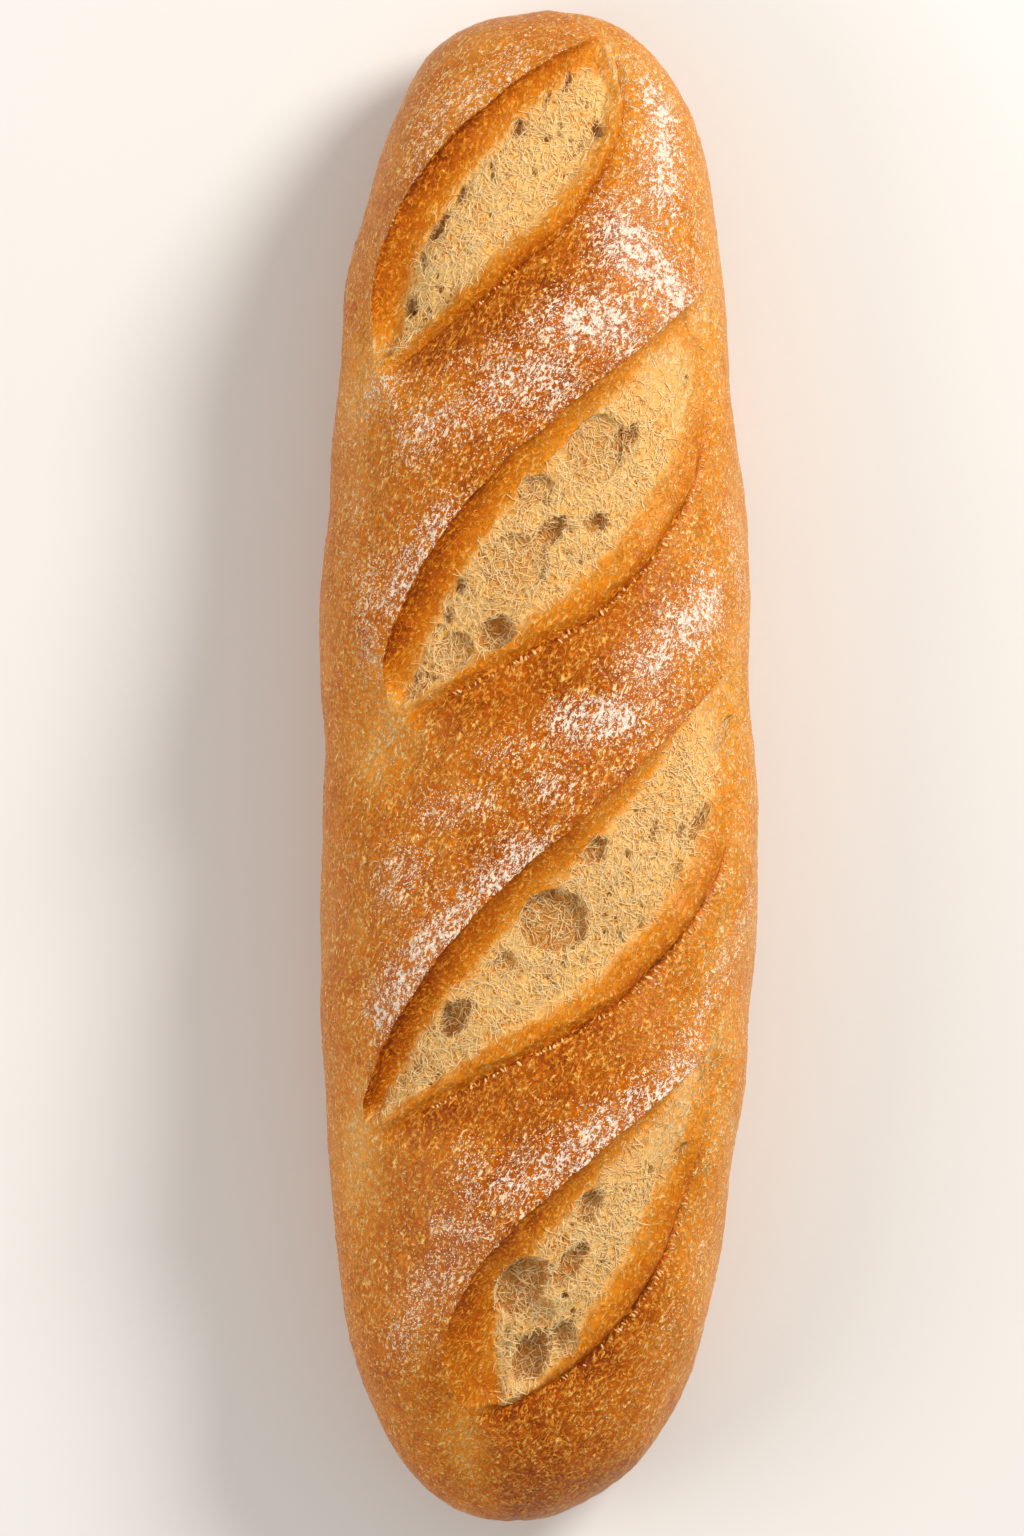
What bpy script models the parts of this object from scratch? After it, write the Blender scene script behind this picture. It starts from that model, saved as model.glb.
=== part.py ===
"""A short baguette with four opened scores, modelled as one solid.

Metres, +Z up. The loaf lies along X on its flat underside, centred on X and Y, and its higher
end score is at +X. Sizes are written in millimetres times MM.
"""

import math
from collections import namedtuple

import bmesh
import bpy
import numpy as np

MM = 0.001

# Driving sizes of the whole loaf
LENGTH = 280 * MM
HALF_WIDTH = 40 * MM
CROWN_RISE = 33 * MM
BELLY_DROP = 31 * MM
WAIST_HEIGHT = 23.5 * MM
NOSE_HEIGHT = 19 * MM

# Plan outline: a superellipse on each side of the widest station
WIDEST_AT = -10.5 * MM
HEAD_OUTLINE = (2.63, 2.92)
TAIL_OUTLINE = (2.98, 2.32)
TAIL_DRIFT = 3.4 * MM
DRIFT_STARTS_AT = -25 * MM
DRIFT_POWER = 1.2
WAIST_POWER = 3

# Roundness of the cross-section: 2 is an ellipse, more is boxier
CROWN_POWER = 2.2
BELLY_POWER = 2.4

# Relief of the opened scores
EAR_HEIGHT = 1.7 * MM
EAR_RUN = 7 * MM
FLOOR_DEPTH = 3.0 * MM
ROLL_DEPTH = 0.9 * MM
ROLL_RUN = 2.2 * MM
TROUGH_DEPTH = 2.3 * MM
GROOVE_SHARE = 0.45
GROOVE_RUN = 1.6 * MM
SHOULDER_RUN = 9 * MM
OPENING_RUN = 9 * MM
NARROWEST_BAND = 2 * MM
TIP_DIP = 0.9 * MM
TIP_RUN = 12 * MM
PORE_POWER = 0.6

# The scores lie above the flanks: their relief stops where the cosine of the turn is this low
LOWEST_COSINE = -0.2

# Slow unevenness of the crust: height, wave lengths along X, Y and Z, phase
SWELLS = (
    (0.45 * MM, 71 * MM, 90 * MM, -83 * MM, 0.6),
    (0.35 * MM, 43 * MM, -61 * MM, 52 * MM, 2.1),
    (0.20 * MM, -29 * MM, 34 * MM, 38 * MM, 4.4),
)
SWELL_FADE_HEIGHT = 9 * MM

# Bulges and pinches of the flanks between the scores, in mm: (side, height, x, run along X)
LEFT, RIGHT = 1, -1
FLANK_BULGES = (
    (LEFT, 1.0, 101, 17),
    (LEFT, 2.0, 27, 13),
    (LEFT, -1.3, 4, 8),
    (LEFT, 0.8, -30, 23),
    (LEFT, -1.0, -81, 11),
    (LEFT, 1.9, -105, 14),
    (RIGHT, 1.5, 110, 17),
    (RIGHT, -1.7, 68, 19),
    (RIGHT, 1.1, -28, 14),
    (RIGHT, -1.5, -86, 14),
    (RIGHT, 1.0, -110, 24),
)

# Fineness of the modelled skin, and the triangles that the finished solid keeps
STATIONS = 420
AROUND = 300
OUTLINE_STEPS = 20000
SOLID_TRIANGLES = 10500

CRUST_COLOUR = (0.60, 0.27, 0.075, 1.0)
CRUST_ROUGHNESS = 0.62

# A side of a score bulges from its axis by reach, steeper at the start for a low rise
Side = namedtuple("Side", "reach rise fade")

# A pore lies at a share of the score's length and at an offset from its axis, in mm
Pore = namedtuple("Pore", "along offset half_long half_short depth")

# Ends are (x, arc over the crown from the middle line), both in metres
Score = namedtuple("Score", "start end lip crease crumb_lip crumb_crease crumb_span pores")

SCORES = (
    Score(
        start=(73.0 * MM, 38.8 * MM),
        end=(135.3 * MM, -29.8 * MM),
        lip=Side(20.7 * MM, 0.72, 0.88),
        crease=Side(9.5 * MM, 0.83, 0.42),
        crumb_lip=Side(12.8 * MM, 0.60, 0.60),
        crumb_crease=Side(6.2 * MM, 0.55, 0.45),
        crumb_span=(0.04, 0.92),
        pores=(
            Pore(0.15, 4.1, 2.2, 1.9, 2.2),
            Pore(0.31, 10.1, 3.7, 1.3, 1.6),
            Pore(0.40, 10.7, 1.7, 1.1, 1.2),
            Pore(0.60, 11.3, 2.0, 1.5, 1.2),
            Pore(0.77, 9.0, 2.2, 0.9, 1.1),
            Pore(0.76, -3.1, 1.7, 1.7, 1.5),
        ),
    ),
    Score(
        start=(8.5 * MM, 29.2 * MM),
        end=(88.2 * MM, -48.3 * MM),
        lip=Side(17.2 * MM, 0.61, 0.78),
        crease=Side(15.8 * MM, 1.12, 0.75),
        crumb_lip=Side(11.0 * MM, 0.75, 0.70),
        crumb_crease=Side(10.4 * MM, 0.70, 0.60),
        crumb_span=(0.02, 0.90),
        pores=(
            Pore(0.62, 3.1, 3.7, 1.7, 1.8),
            Pore(0.57, 6.1, 6.3, 4.8, 0.9),
            Pore(0.48, -3.0, 2.2, 2.0, 1.6),
            Pore(0.42, 1.9, 3.2, 1.5, 1.8),
            Pore(0.45, 9.1, 3.0, 2.0, 1.1),
            Pore(0.34, 2.0, 5.2, 4.4, 1.0),
            Pore(0.24, -4.5, 3.5, 2.4, 2.0),
            Pore(0.16, -1.1, 4.1, 3.0, 1.0),
            Pore(0.25, 6.5, 1.5, 1.1, 1.2),
        ),
    ),
    Score(
        start=(-69.3 * MM, 39.2 * MM),
        end=(22.4 * MM, -48.5 * MM),
        lip=Side(9.2 * MM, 0.77, 0.76),
        crease=Side(22.8 * MM, 1.22, 0.70),
        crumb_lip=Side(2.4 * MM, 0.50, 0.50),
        crumb_crease=Side(16.8 * MM, 1.00, 0.70),
        crumb_span=(0.03, 0.93),
        pores=(
            Pore(0.46, -2.2, 5.0, 5.0, 1.9),
            Pore(0.57, 1.6, 2.8, 1.5, 1.4),
            Pore(0.26, -1.8, 3.7, 2.4, 2.2),
            Pore(0.74, -13.0, 4.1, 1.5, 1.8),
            Pore(0.88, -8.4, 4.4, 1.0, 1.3),
            Pore(0.65, -14.4, 1.7, 0.9, 1.0),
            Pore(0.37, -1.7, 2.6, 1.5, 0.9),
        ),
    ),
    Score(
        start=(-120.3 * MM, 13.7 * MM),
        end=(-48.9 * MM, -40.6 * MM),
        lip=Side(15.1 * MM, 0.35, 0.88),
        crease=Side(19.0 * MM, 0.88, 0.95),
        crumb_lip=Side(6.6 * MM, 0.90, 1.40),
        crumb_crease=Side(10.2 * MM, 0.35, 0.40),
        crumb_span=(0.06, 0.94),
        pores=(
            Pore(0.51, 3.5, 3.3, 1.9, 1.5),
            Pore(0.39, -0.2, 4.4, 2.0, 1.6),
            Pore(0.29, 5.7, 4.4, 2.8, 2.0),
            Pore(0.19, -6.1, 4.1, 2.4, 2.0),
            Pore(0.27, -8.9, 2.6, 3.0, 1.3),
            Pore(0.27, -1.8, 3.0, 2.6, 0.9),
        ),
    ),
)


def signed_power(value, power):
    """Value to a power, keeping its sign."""
    return np.sign(value) * np.abs(value) ** power


def ease(value):
    """Smooth step from 0 to 1."""
    t = np.clip(value, 0, 1)
    return t * t * (3 - 2 * t)


def taper(x, head, tail):
    """Share of full size at x: 1 at the widest station and 0 at both noses."""
    ahead = np.clip((x - WIDEST_AT) / (LENGTH / 2 - WIDEST_AT), 0, 1)
    behind = np.clip((WIDEST_AT - x) / (LENGTH / 2 + WIDEST_AT), 0, 1)
    return (1 - ahead ** head[0]) ** (1 / head[1]) * (1 - behind ** tail[0]) ** (1 / tail[1])


def waist(x):
    """Height of the widest line of the loaf, which sinks a little towards the noses."""
    share = np.abs(x) / (LENGTH / 2)
    return WAIST_HEIGHT + (NOSE_HEIGHT - WAIST_HEIGHT) * share ** WAIST_POWER


def middle_line(x):
    """Sideways drift of the loaf's middle, which bends a little at the tail."""
    run = np.clip(DRIFT_STARTS_AT - x, 0, None) / (LENGTH / 2 + DRIFT_STARTS_AT)
    return TAIL_DRIFT * run ** DRIFT_POWER


def skin(x, turn):
    """Smooth skin before any relief, at a turn from straight up towards +Y."""
    size = taper(x, HEAD_OUTLINE, TAIL_OUTLINE)
    rising = np.cos(turn) > 0
    power = np.where(rising, CROWN_POWER, BELLY_POWER)
    across = signed_power(np.sin(turn), 2 / power)
    up = signed_power(np.cos(turn), 2 / power)
    height = np.where(rising, CROWN_RISE, BELLY_DROP) * size
    y = middle_line(x) + HALF_WIDTH * size * across
    return np.stack([x, y, waist(x) + height * up], axis=-1)


def lens(side, along):
    """Half-width of a score on one side of its axis, at a share along its length."""
    t = np.clip(along, 0, 1)
    peak = side.rise / (side.rise + side.fade)
    highest = peak ** side.rise * (1 - peak) ** side.fade
    return side.reach * t ** side.rise * (1 - t) ** side.fade / highest


def place_in_score(score, x, arc):
    """(share along the score, offset from its axis towards the lip, length of the score)."""
    start = np.array(score.start)
    run = np.array(score.end) - start
    length = math.hypot(*run)
    ahead = run / length
    along = ((x - start[0]) * ahead[0] + (arc - start[1]) * ahead[1]) / length
    offset = -(x - start[0]) * ahead[1] + (arc - start[1]) * ahead[0]
    return along, offset, length


def pore_relief(score, along, offset, length):
    """Bowls of the burst bubbles that show in the crumb."""
    depth = np.zeros_like(along)
    for pore in score.pores:
        ahead = (along - pore.along) * length / (pore.half_long * MM)
        aside = (offset - pore.offset * MM) / (pore.half_short * MM)
        bowl = np.clip(1 - ahead ** 2 - aside ** 2, 0, 1) ** PORE_POWER
        depth = np.maximum(depth, pore.depth * MM * bowl)
    return -depth


def score_relief(score, x, arc):
    """Outward height of one opened score and of the crust that it lifts."""
    along, offset, length = place_in_score(score, x, arc)
    lip, crease = lens(score.lip, along), lens(score.crease, along)
    first, last = score.crumb_span
    crumb_along = (along - first) / (last - first)
    lip_band = np.maximum(lip - lens(score.crumb_lip, crumb_along), NARROWEST_BAND)
    crease_band = np.maximum(crease - lens(score.crumb_crease, crumb_along), NARROWEST_BAND)
    opening = ease((lip + crease) / OPENING_RUN)

    from_lip = lip - offset
    from_crease = offset + crease
    wall = EAR_HEIGHT - (EAR_HEIGHT + FLOOR_DEPTH) * (1 - (1 - np.clip(from_lip / lip_band, 0, 1)) ** 2)
    roll = -TROUGH_DEPTH + (TROUGH_DEPTH - ROLL_DEPTH) * ease(from_crease / ROLL_RUN)
    roll -= (FLOOR_DEPTH - ROLL_DEPTH) * ease((from_crease - ROLL_RUN) / crease_band)
    inside = wall + roll + FLOOR_DEPTH

    ear = EAR_HEIGHT * np.exp(np.minimum(from_lip, 0) / EAR_RUN)
    past_crease = np.maximum(-from_crease, 0)
    groove = GROOVE_SHARE * np.exp(-past_crease / GROOVE_RUN)
    shoulder = (1 - GROOVE_SHARE) * np.exp(-past_crease / SHOULDER_RUN)
    outside = np.where(from_lip < 0, ear, -TROUGH_DEPTH * (groove + shoulder))

    opened = (from_lip >= 0) & (from_crease >= 0)
    relief = opening * np.where(opened, inside, outside)
    relief += opening * np.where(opened, pore_relief(score, along, offset, length), 0)
    for end in (score.start, score.end):
        reach = ((x - end[0]) ** 2 + (arc - end[1]) ** 2) / TIP_RUN ** 2
        relief -= TIP_DIP * np.exp(-reach)
    return relief


def swell_relief(points):
    """Slow unevenness of the whole crust, which fades out at the flat underside."""
    x, y, z = points[..., 0], points[..., 1], points[..., 2]
    waves = sum(
        height * np.sin(2 * np.pi * (x / along + y / across + z / up) + phase)
        for height, along, across, up, phase in SWELLS
    )
    return waves * ease(z / SWELL_FADE_HEIGHT)


def flank_relief(points, turn):
    """Bulges of the two flanks, strongest at the waist and gone at the crown and the underside."""
    relief = np.zeros_like(turn)
    for side, height, at, run in FLANK_BULGES:
        sideways = np.clip(side * np.sin(turn), 0, 1) ** 2
        relief += height * MM * sideways * np.exp(-((points[..., 0] / MM - at) / run) ** 2)
    return relief * ease(points[..., 2] / SWELL_FADE_HEIGHT)


def even_stations(count):
    """Stations along X, evenly spaced over the skin, without the two noses."""
    fine = LENGTH / 2 * np.sin(np.linspace(-np.pi / 2, np.pi / 2, OUTLINE_STEPS + 1))
    edge = HALF_WIDTH * taper(fine, HEAD_OUTLINE, TAIL_OUTLINE)
    walked = np.concatenate([[0], np.cumsum(np.hypot(np.diff(fine), np.diff(edge)))])
    return np.interp(np.linspace(0, walked[-1], count + 2)[1:-1], walked, fine)


def outward(points):
    """Unit normals of a grid of points, wrapping round its second axis."""
    ahead = np.gradient(points, axis=0)
    around = np.roll(points, -1, axis=1) - np.roll(points, 1, axis=1)
    normal = np.cross(ahead, around)
    return normal / np.linalg.norm(normal, axis=-1, keepdims=True)


def loaf_points():
    """Grid of finished skin points, centred: a row for each station, a column for each turn."""
    stations = even_stations(STATIONS)
    turns = np.linspace(-np.pi, np.pi, AROUND, endpoint=False)
    x, turn = np.meshgrid(stations, turns, indexing="ij")
    arc = HALF_WIDTH * turn
    base = skin(x, turn)
    relief = swell_relief(base) + flank_relief(base, turn)
    for score in SCORES:
        relief += score_relief(score, x, arc) * (np.cos(turn) > LOWEST_COSINE)
    points = base + outward(base) * relief[..., None]
    points[..., 2] = np.maximum(points[..., 2], 0)
    lowest = points[..., :2].min(axis=(0, 1))
    highest = points[..., :2].max(axis=(0, 1))
    points[..., :2] -= (lowest + highest) / 2
    return points


def clear_scene():
    for obj in list(bpy.data.objects):
        bpy.data.objects.remove(obj)


def crust_material():
    material = bpy.data.materials.new("baked_crust")
    material.use_nodes = True
    shader = material.node_tree.nodes["Principled BSDF"]
    shader.inputs["Base Color"].default_value = CRUST_COLOUR
    shader.inputs["Roughness"].default_value = CRUST_ROUGHNESS
    shader.inputs["Metallic"].default_value = 0
    return material


def build_loaf():
    """The skin as one closed mesh: rings bridged along the loaf, with a point at each nose."""
    points = loaf_points()
    mesh = bmesh.new()
    rings = [[mesh.verts.new(point) for point in ring] for ring in points]
    for ring, following in zip(rings, rings[1:]):
        for i in range(AROUND):
            j = (i + 1) % AROUND
            mesh.faces.new((ring[i], ring[j], following[j], following[i]))
    for end in (0, -1):
        ring = rings[end]
        nose = mesh.verts.new(points[end].mean(axis=0))
        for i in range(AROUND):
            mesh.faces.new((nose, ring[i], ring[(i + 1) % AROUND]))
    bmesh.ops.recalc_face_normals(mesh, faces=mesh.faces)
    data = bpy.data.meshes.new("loaf")
    mesh.to_mesh(data)
    mesh.free()
    data.shade_smooth()
    data.materials.append(crust_material())
    loaf = bpy.data.objects.new("loaf", data)
    bpy.context.scene.collection.objects.link(loaf)
    thin = loaf.modifiers.new("keep_main_shapes", "DECIMATE")
    skin_triangles = 2 * AROUND * STATIONS
    thin.ratio = SOLID_TRIANGLES / skin_triangles


clear_scene()
build_loaf()
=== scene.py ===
"""A short floury baguette, seen from above: its crust, four opened scores, crumb and flour.

Each sheet of bread is first laid out flat: x runs along the loaf, arc runs over the crown from
the middle line towards +Y, and lift is the height above the loaf's smooth skin. A geometry node
tree then wraps the flat sheets round the loaf, and others strew flour and torn crumb on them.
"""

import math
from collections import namedtuple
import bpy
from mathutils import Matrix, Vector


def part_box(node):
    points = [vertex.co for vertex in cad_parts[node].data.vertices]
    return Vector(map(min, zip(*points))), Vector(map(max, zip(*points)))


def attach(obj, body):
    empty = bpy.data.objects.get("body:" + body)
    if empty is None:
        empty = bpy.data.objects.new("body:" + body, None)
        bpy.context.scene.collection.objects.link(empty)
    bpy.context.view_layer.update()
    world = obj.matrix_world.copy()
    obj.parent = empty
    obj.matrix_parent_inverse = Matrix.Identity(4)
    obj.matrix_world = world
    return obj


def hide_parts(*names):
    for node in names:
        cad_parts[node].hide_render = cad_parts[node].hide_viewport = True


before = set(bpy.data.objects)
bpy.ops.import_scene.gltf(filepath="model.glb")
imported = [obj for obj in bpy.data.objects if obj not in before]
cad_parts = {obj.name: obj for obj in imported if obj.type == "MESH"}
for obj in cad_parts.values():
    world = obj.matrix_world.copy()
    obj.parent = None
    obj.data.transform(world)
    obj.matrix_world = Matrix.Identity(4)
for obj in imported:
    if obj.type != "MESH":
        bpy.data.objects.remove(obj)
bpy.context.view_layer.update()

from types import SimpleNamespace

import bpy
import numpy as np
from mathutils import Matrix, Vector

LOAF_LOW, LOAF_HIGH = (Vector(corner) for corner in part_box("loaf"))
LOAF_SIZE = LOAF_HIGH - LOAF_LOW
LOAF_MIDDLE = (LOAF_LOW + LOAF_HIGH) / 2

# One millimetre of the loaf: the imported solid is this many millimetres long
PACKED_LENGTH = 280.54
MM = LOAF_SIZE.x / PACKED_LENGTH

# The loaf's smooth skin
LENGTH = 280 * MM
HALF_WIDTH = 40 * MM
CROWN_RISE = 33 * MM
BELLY_DROP = 31 * MM
WAIST_HEIGHT = 23.5 * MM
NOSE_HEIGHT = 19 * MM
WIDEST_AT = -10.5 * MM
HEAD_OUTLINE = (2.63, 2.92)
TAIL_OUTLINE = (2.98, 2.32)
TAIL_DRIFT = 3.4 * MM
DRIFT_STARTS_AT = -25 * MM
DRIFT_POWER = 1.2
WAIST_POWER = 3.0
CROWN_POWER = 2.2
BELLY_POWER = 2.4

# Slow unevenness: height, wave lengths along X, Y and Z, in mm, and phase
SWELLS = (
    (0.45, 71, 90, -83, 0.6),
    (0.35, 43, -61, 52, 2.1),
    (0.20, -29, 34, 38, 4.4),
)
SWELL_FADE_HEIGHT = 9 * MM

# Browning runs from 0, raw dough, to 1, nearly burnt
DARKEST_TOAST = 0.93

# Browning of the crust, and how much darker or paler its parts are; the lit and shaded sides, the crease
# lines and the lip lines are painted light and painted shade
CRUST_TOAST = 0.58
BARE_DARKER = 0.20
CROWN_DARKER = 0.15
TAIL_DARKER = 0.07
# Painted shade on the +Y flank, away from the key lamp
SHADED_SIDE_DARKER = 0.02
# Painted light on the -Y flank, which faces the key lamp
LIT_SIDE_PALER = 0.10
SCORE_ENDS_PALER = 0.26
# Painted shade along the bottom of each crease's groove and along the lip under each ear's edge
CREASE_SHADE_DARKER = 0.20
LIP_SHADE_DARKER = 0.05

# Browning of the bands in the scores: the inner edges at shares of the score's length, and the
# tone that the bands start from and fade to
INNER_TOAST_AT = (0.25, 0.45, 0.65, 0.85)
INNER_TOAST = (0.56, 0.50, 0.44, 0.41)
CREASE_SIDE_PALER = 0.04
FADED_TOAST = 0.42
START_TOAST = 0.50
TAIL_START_DARKER = 0.16
TIPS_PALER = 0.22

# Flour film on the crust: everywhere, in the streaks and along the lips, and how far past their
# width the streaks fade out. The thin film everywhere lies on the raised dashes as flour specks and painted
# highlights
FLOUR_AND_GLINTS_EVERYWHERE = 0.30
FLOUR_IN_STREAKS = 0.63
FLOUR_BY_LIPS = 0.12
STREAK_SOFTNESS = 1.75

# Bulges and pinches of the flanks, in mm: side, height, x, run along X
LEFT, RIGHT = 1, -1
FLANK_BULGES = (
    (LEFT, 1.0, 101, 17),
    (LEFT, 2.0, 27, 13),
    (LEFT, -1.3, 4, 8),
    (LEFT, 0.8, -30, 23),
    (LEFT, -1.0, -81, 11),
    (LEFT, 1.9, -105, 14),
    (RIGHT, 1.5, 110, 17),
    (RIGHT, -1.7, 68, 19),
    (RIGHT, 1.1, -28, 14),
    (RIGHT, -1.5, -86, 14),
    (RIGHT, 1.0, -110, 24),
)

# Opened scores: sizes in mm, and factors for the groove and the pores
EAR_HEIGHT = 1.7
EAR_RUN = 7
EAR_OVERHANG = 0.8
OVERHANG_RUN = 0.7
FLOOR_DEPTH = 3.0
ROLL_DEPTH = 0.9
ROLL_RUN = 2.2
TROUGH_DEPTH = 2.3
GROOVE_SHARE = 0.45
GROOVE_RUN = 1.6
SHOULDER_RUN = 9
OPENING_RUN = 9
NARROWEST_BAND = 2
TIP_DIP = 0.9
TIP_RUN = 12
TIP_EASE = 8
CRUMB_DOME = 0.9
CRUMB_LEDGE = 0.45
TORN_EDGE = 0.8
PORES_DEEPENED = 1.5
PORES_WIDENED = 1.15
PORE_UNDERCUT = 0.32
PORES_KEEP_IN = 1.2
HOLLOW_DEPTH = 2.4

# Wavering of the edges: height and wave length of each wave, in mm
LIP_WAVES = ((0.30, 6.5), (0.12, 1.9))
CREASE_WAVES = ((0.35, 8.0), (0.10, 1.6))
ROLL_WAVES = ((0.80, 3.3),)
CRUMB_EDGE_WAVES = ((0.75, 2.3), (0.45, 0.8))
PORE_WAVES = ((0.45, 2.9), (0.08, 0.9))

# Skin that grows over the crumb: how its start wavers, as a share of the score's length and over
# waves in mm, and the share of the length that it takes to close
SKIN_WAVES = ((0.05, 4.5),)
SKIN_GROWS_OVER = 0.16

# The browned bands fade out over this stretch of the score's length
BANDS_FADE_FROM = 0.64
BANDS_FADE_OVER = 0.30

# Pinholes strewn over the crumb: how many for each mm of the score, and in mm their least radius
# and how much larger the largest are
PINHOLES_PER_LENGTH = 1.0
PINHOLE_LEAST = 0.30
PINHOLE_SPREAD = 0.65

# How the sheets meet, in mm: a score's sheet dives under the crust round it, which sinks under it
RIM_STARTS = 5
RIM_REACH = 10
RIM_DIVE = 0.034
SHEETS_CROSS_AT = 6.0
CRUST_SINKS_AT = 6.5
CRUST_SINK = 6.5
SHEET_BODY = 7.5
SKIN_INSET = 0.2
SQUEEZE_FROM = 134.0
SQUEEZE_LIMIT = 139.8

# A side of a score bulges from its axis by reach, steeper at the start for a low rise
Side = namedtuple("Side", "reach rise fade")

# A pore lies at a share of the score's length and at an offset from its axis
Pore = namedtuple("Pore", "along offset half_long half_short depth")

# bare is the smooth brown skin past the crease: its first and last share of the length, its width.
# From skin_from on, the crumb is grown over with smooth golden skin, browned to skin_toast.
# late is how far the crumb keeps from the lip near the start; the ear is full at ear_from.
# lip_toast and crease_toast are the browning of the two edges at the shares in BROWNING_AT.
# crease_line is how strong the painted shade is along the bottom of the crease.
Score = namedtuple(
    "Score",
    "start end lip crease crumb_lip crumb_crease crumb_span bare crease_line lip_toast "
    "crease_toast skin_from skin_toast late ear_from pores",
)

BROWNING_AT = (0.25, 0.45, 0.65)

SCORES = (
    Score(
        start=(73.0, 38.8),
        end=(135.3, -29.8),
        lip=Side(20.7, 0.70, 0.92),
        crease=Side(9.6, 0.73, 0.56),
        crumb_lip=Side(13.0, 0.67, 0.66),
        crumb_crease=Side(4.9, 0.62, 0.53),
        crumb_span=(0.04, 0.92),
        bare=(0.12, 0.38, 7.0),
        crease_line=0.55,
        lip_toast=(0.84, 0.96, 0.84),
        crease_toast=(0.72, 0.78, 0.70),
        skin_from=0.84,
        skin_toast=0.24,
        late=2.5,
        ear_from=0.10,
        pores=(
            Pore(0.15, 4.1, 2.2, 1.9, 2.2),
            Pore(0.31, 10.1, 3.7, 1.3, 1.6),
            Pore(0.40, 10.7, 1.7, 1.1, 1.2),
            Pore(0.60, 11.3, 2.0, 1.5, 1.2),
            Pore(0.77, 9.0, 2.2, 0.9, 1.1),
            Pore(0.76, -3.1, 1.7, 1.7, 1.5),
            Pore(0.70, 11.0, 1.5, 0.6, 0.8),
            Pore(0.24, 8.3, 0.9, 1.5, 0.9),
        ),
    ),
    Score(
        start=(8.5, 29.2),
        end=(88.2, -48.3),
        lip=Side(16.9, 0.58, 0.64),
        crease=Side(16.3, 0.86, 0.60),
        crumb_lip=Side(10.9, 0.80, 0.55),
        crumb_crease=Side(8.7, 0.78, 0.60),
        crumb_span=(0.02, 0.90),
        bare=(0.10, 0.27, 8.5),
        crease_line=0.8,
        lip_toast=(0.94, 0.84, 0.64),
        crease_toast=(0.70, 0.70, 0.74),
        skin_from=0.64,
        skin_toast=0.20,
        late=0.5,
        ear_from=0.08,
        pores=(
            Pore(0.62, 3.1, 3.7, 1.7, 1.8),
            Pore(0.57, 6.1, 6.3, 4.8, 0.9),
            Pore(0.48, -3.0, 2.2, 2.0, 1.6),
            Pore(0.42, 1.9, 3.2, 1.5, 1.8),
            Pore(0.45, 9.1, 3.0, 2.0, 1.1),
            Pore(0.34, 2.0, 5.2, 4.4, 1.0),
            Pore(0.24, -4.5, 3.5, 2.4, 2.0),
            Pore(0.16, -1.1, 4.1, 3.0, 1.0),
            Pore(0.25, 6.5, 1.5, 1.1, 1.2),
            Pore(0.20, 4.9, 1.3, 1.1, 0.9),
            Pore(0.80, -2.6, 2.2, 0.7, 0.8),
        ),
    ),
    Score(
        start=(-69.3, 39.2),
        end=(22.4, -48.5),
        lip=Side(9.0, 0.71, 0.66),
        crease=Side(23.9, 0.90, 0.50),
        crumb_lip=Side(2.7, 0.75, 0.36),
        crumb_crease=Side(16.4, 0.90, 0.55),
        crumb_span=(0.03, 0.93),
        bare=(0.12, 0.28, 7.5),
        crease_line=0.8,
        lip_toast=(0.95, 0.84, 0.65),
        crease_toast=(0.66, 0.76, 0.78),
        skin_from=0.76,
        skin_toast=0.12,
        late=0.0,
        ear_from=0.08,
        pores=(
            Pore(0.46, -2.2, 5.0, 5.0, 1.9),
            Pore(0.57, 1.6, 2.8, 1.5, 1.4),
            Pore(0.26, -1.8, 3.7, 2.4, 2.2),
            Pore(0.74, -13.0, 4.1, 1.5, 1.8),
            Pore(0.88, -8.4, 4.4, 1.0, 1.3),
            Pore(0.65, -14.4, 1.7, 0.9, 1.0),
            Pore(0.37, -1.7, 2.6, 1.5, 0.9),
            Pore(0.70, -9.6, 1.5, 0.9, 1.0),
            Pore(0.66, -4.8, 1.7, 0.9, 0.9),
        ),
    ),
    Score(
        start=(-120.3, 13.7),
        end=(-48.9, -40.6),
        lip=Side(14.0, 0.30, 0.84),
        crease=Side(19.2, 0.82, 0.84),
        crumb_lip=Side(6.8, 0.88, 1.40),
        crumb_crease=Side(10.6, 0.22, 0.58),
        crumb_span=(0.06, 0.94),
        bare=(0.05, 0.45, 6.0),
        crease_line=0.8,
        lip_toast=(0.89, 0.89, 0.70),
        crease_toast=(0.80, 0.85, 0.83),
        skin_from=0.60,
        skin_toast=0.22,
        late=6.0,
        ear_from=0.22,
        pores=(
            Pore(0.51, 3.5, 3.3, 1.9, 1.5),
            Pore(0.39, -0.2, 4.4, 2.0, 1.6),
            Pore(0.29, 4.6, 5.4, 3.8, 2.0),
            Pore(0.19, -5.4, 4.8, 3.2, 2.2),
            Pore(0.27, -8.9, 2.6, 3.0, 1.3),
            Pore(0.27, -1.8, 3.0, 2.6, 0.9),
            Pore(0.74, -7.9, 2.6, 0.7, 0.9),
        ),
    ),
)

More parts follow.
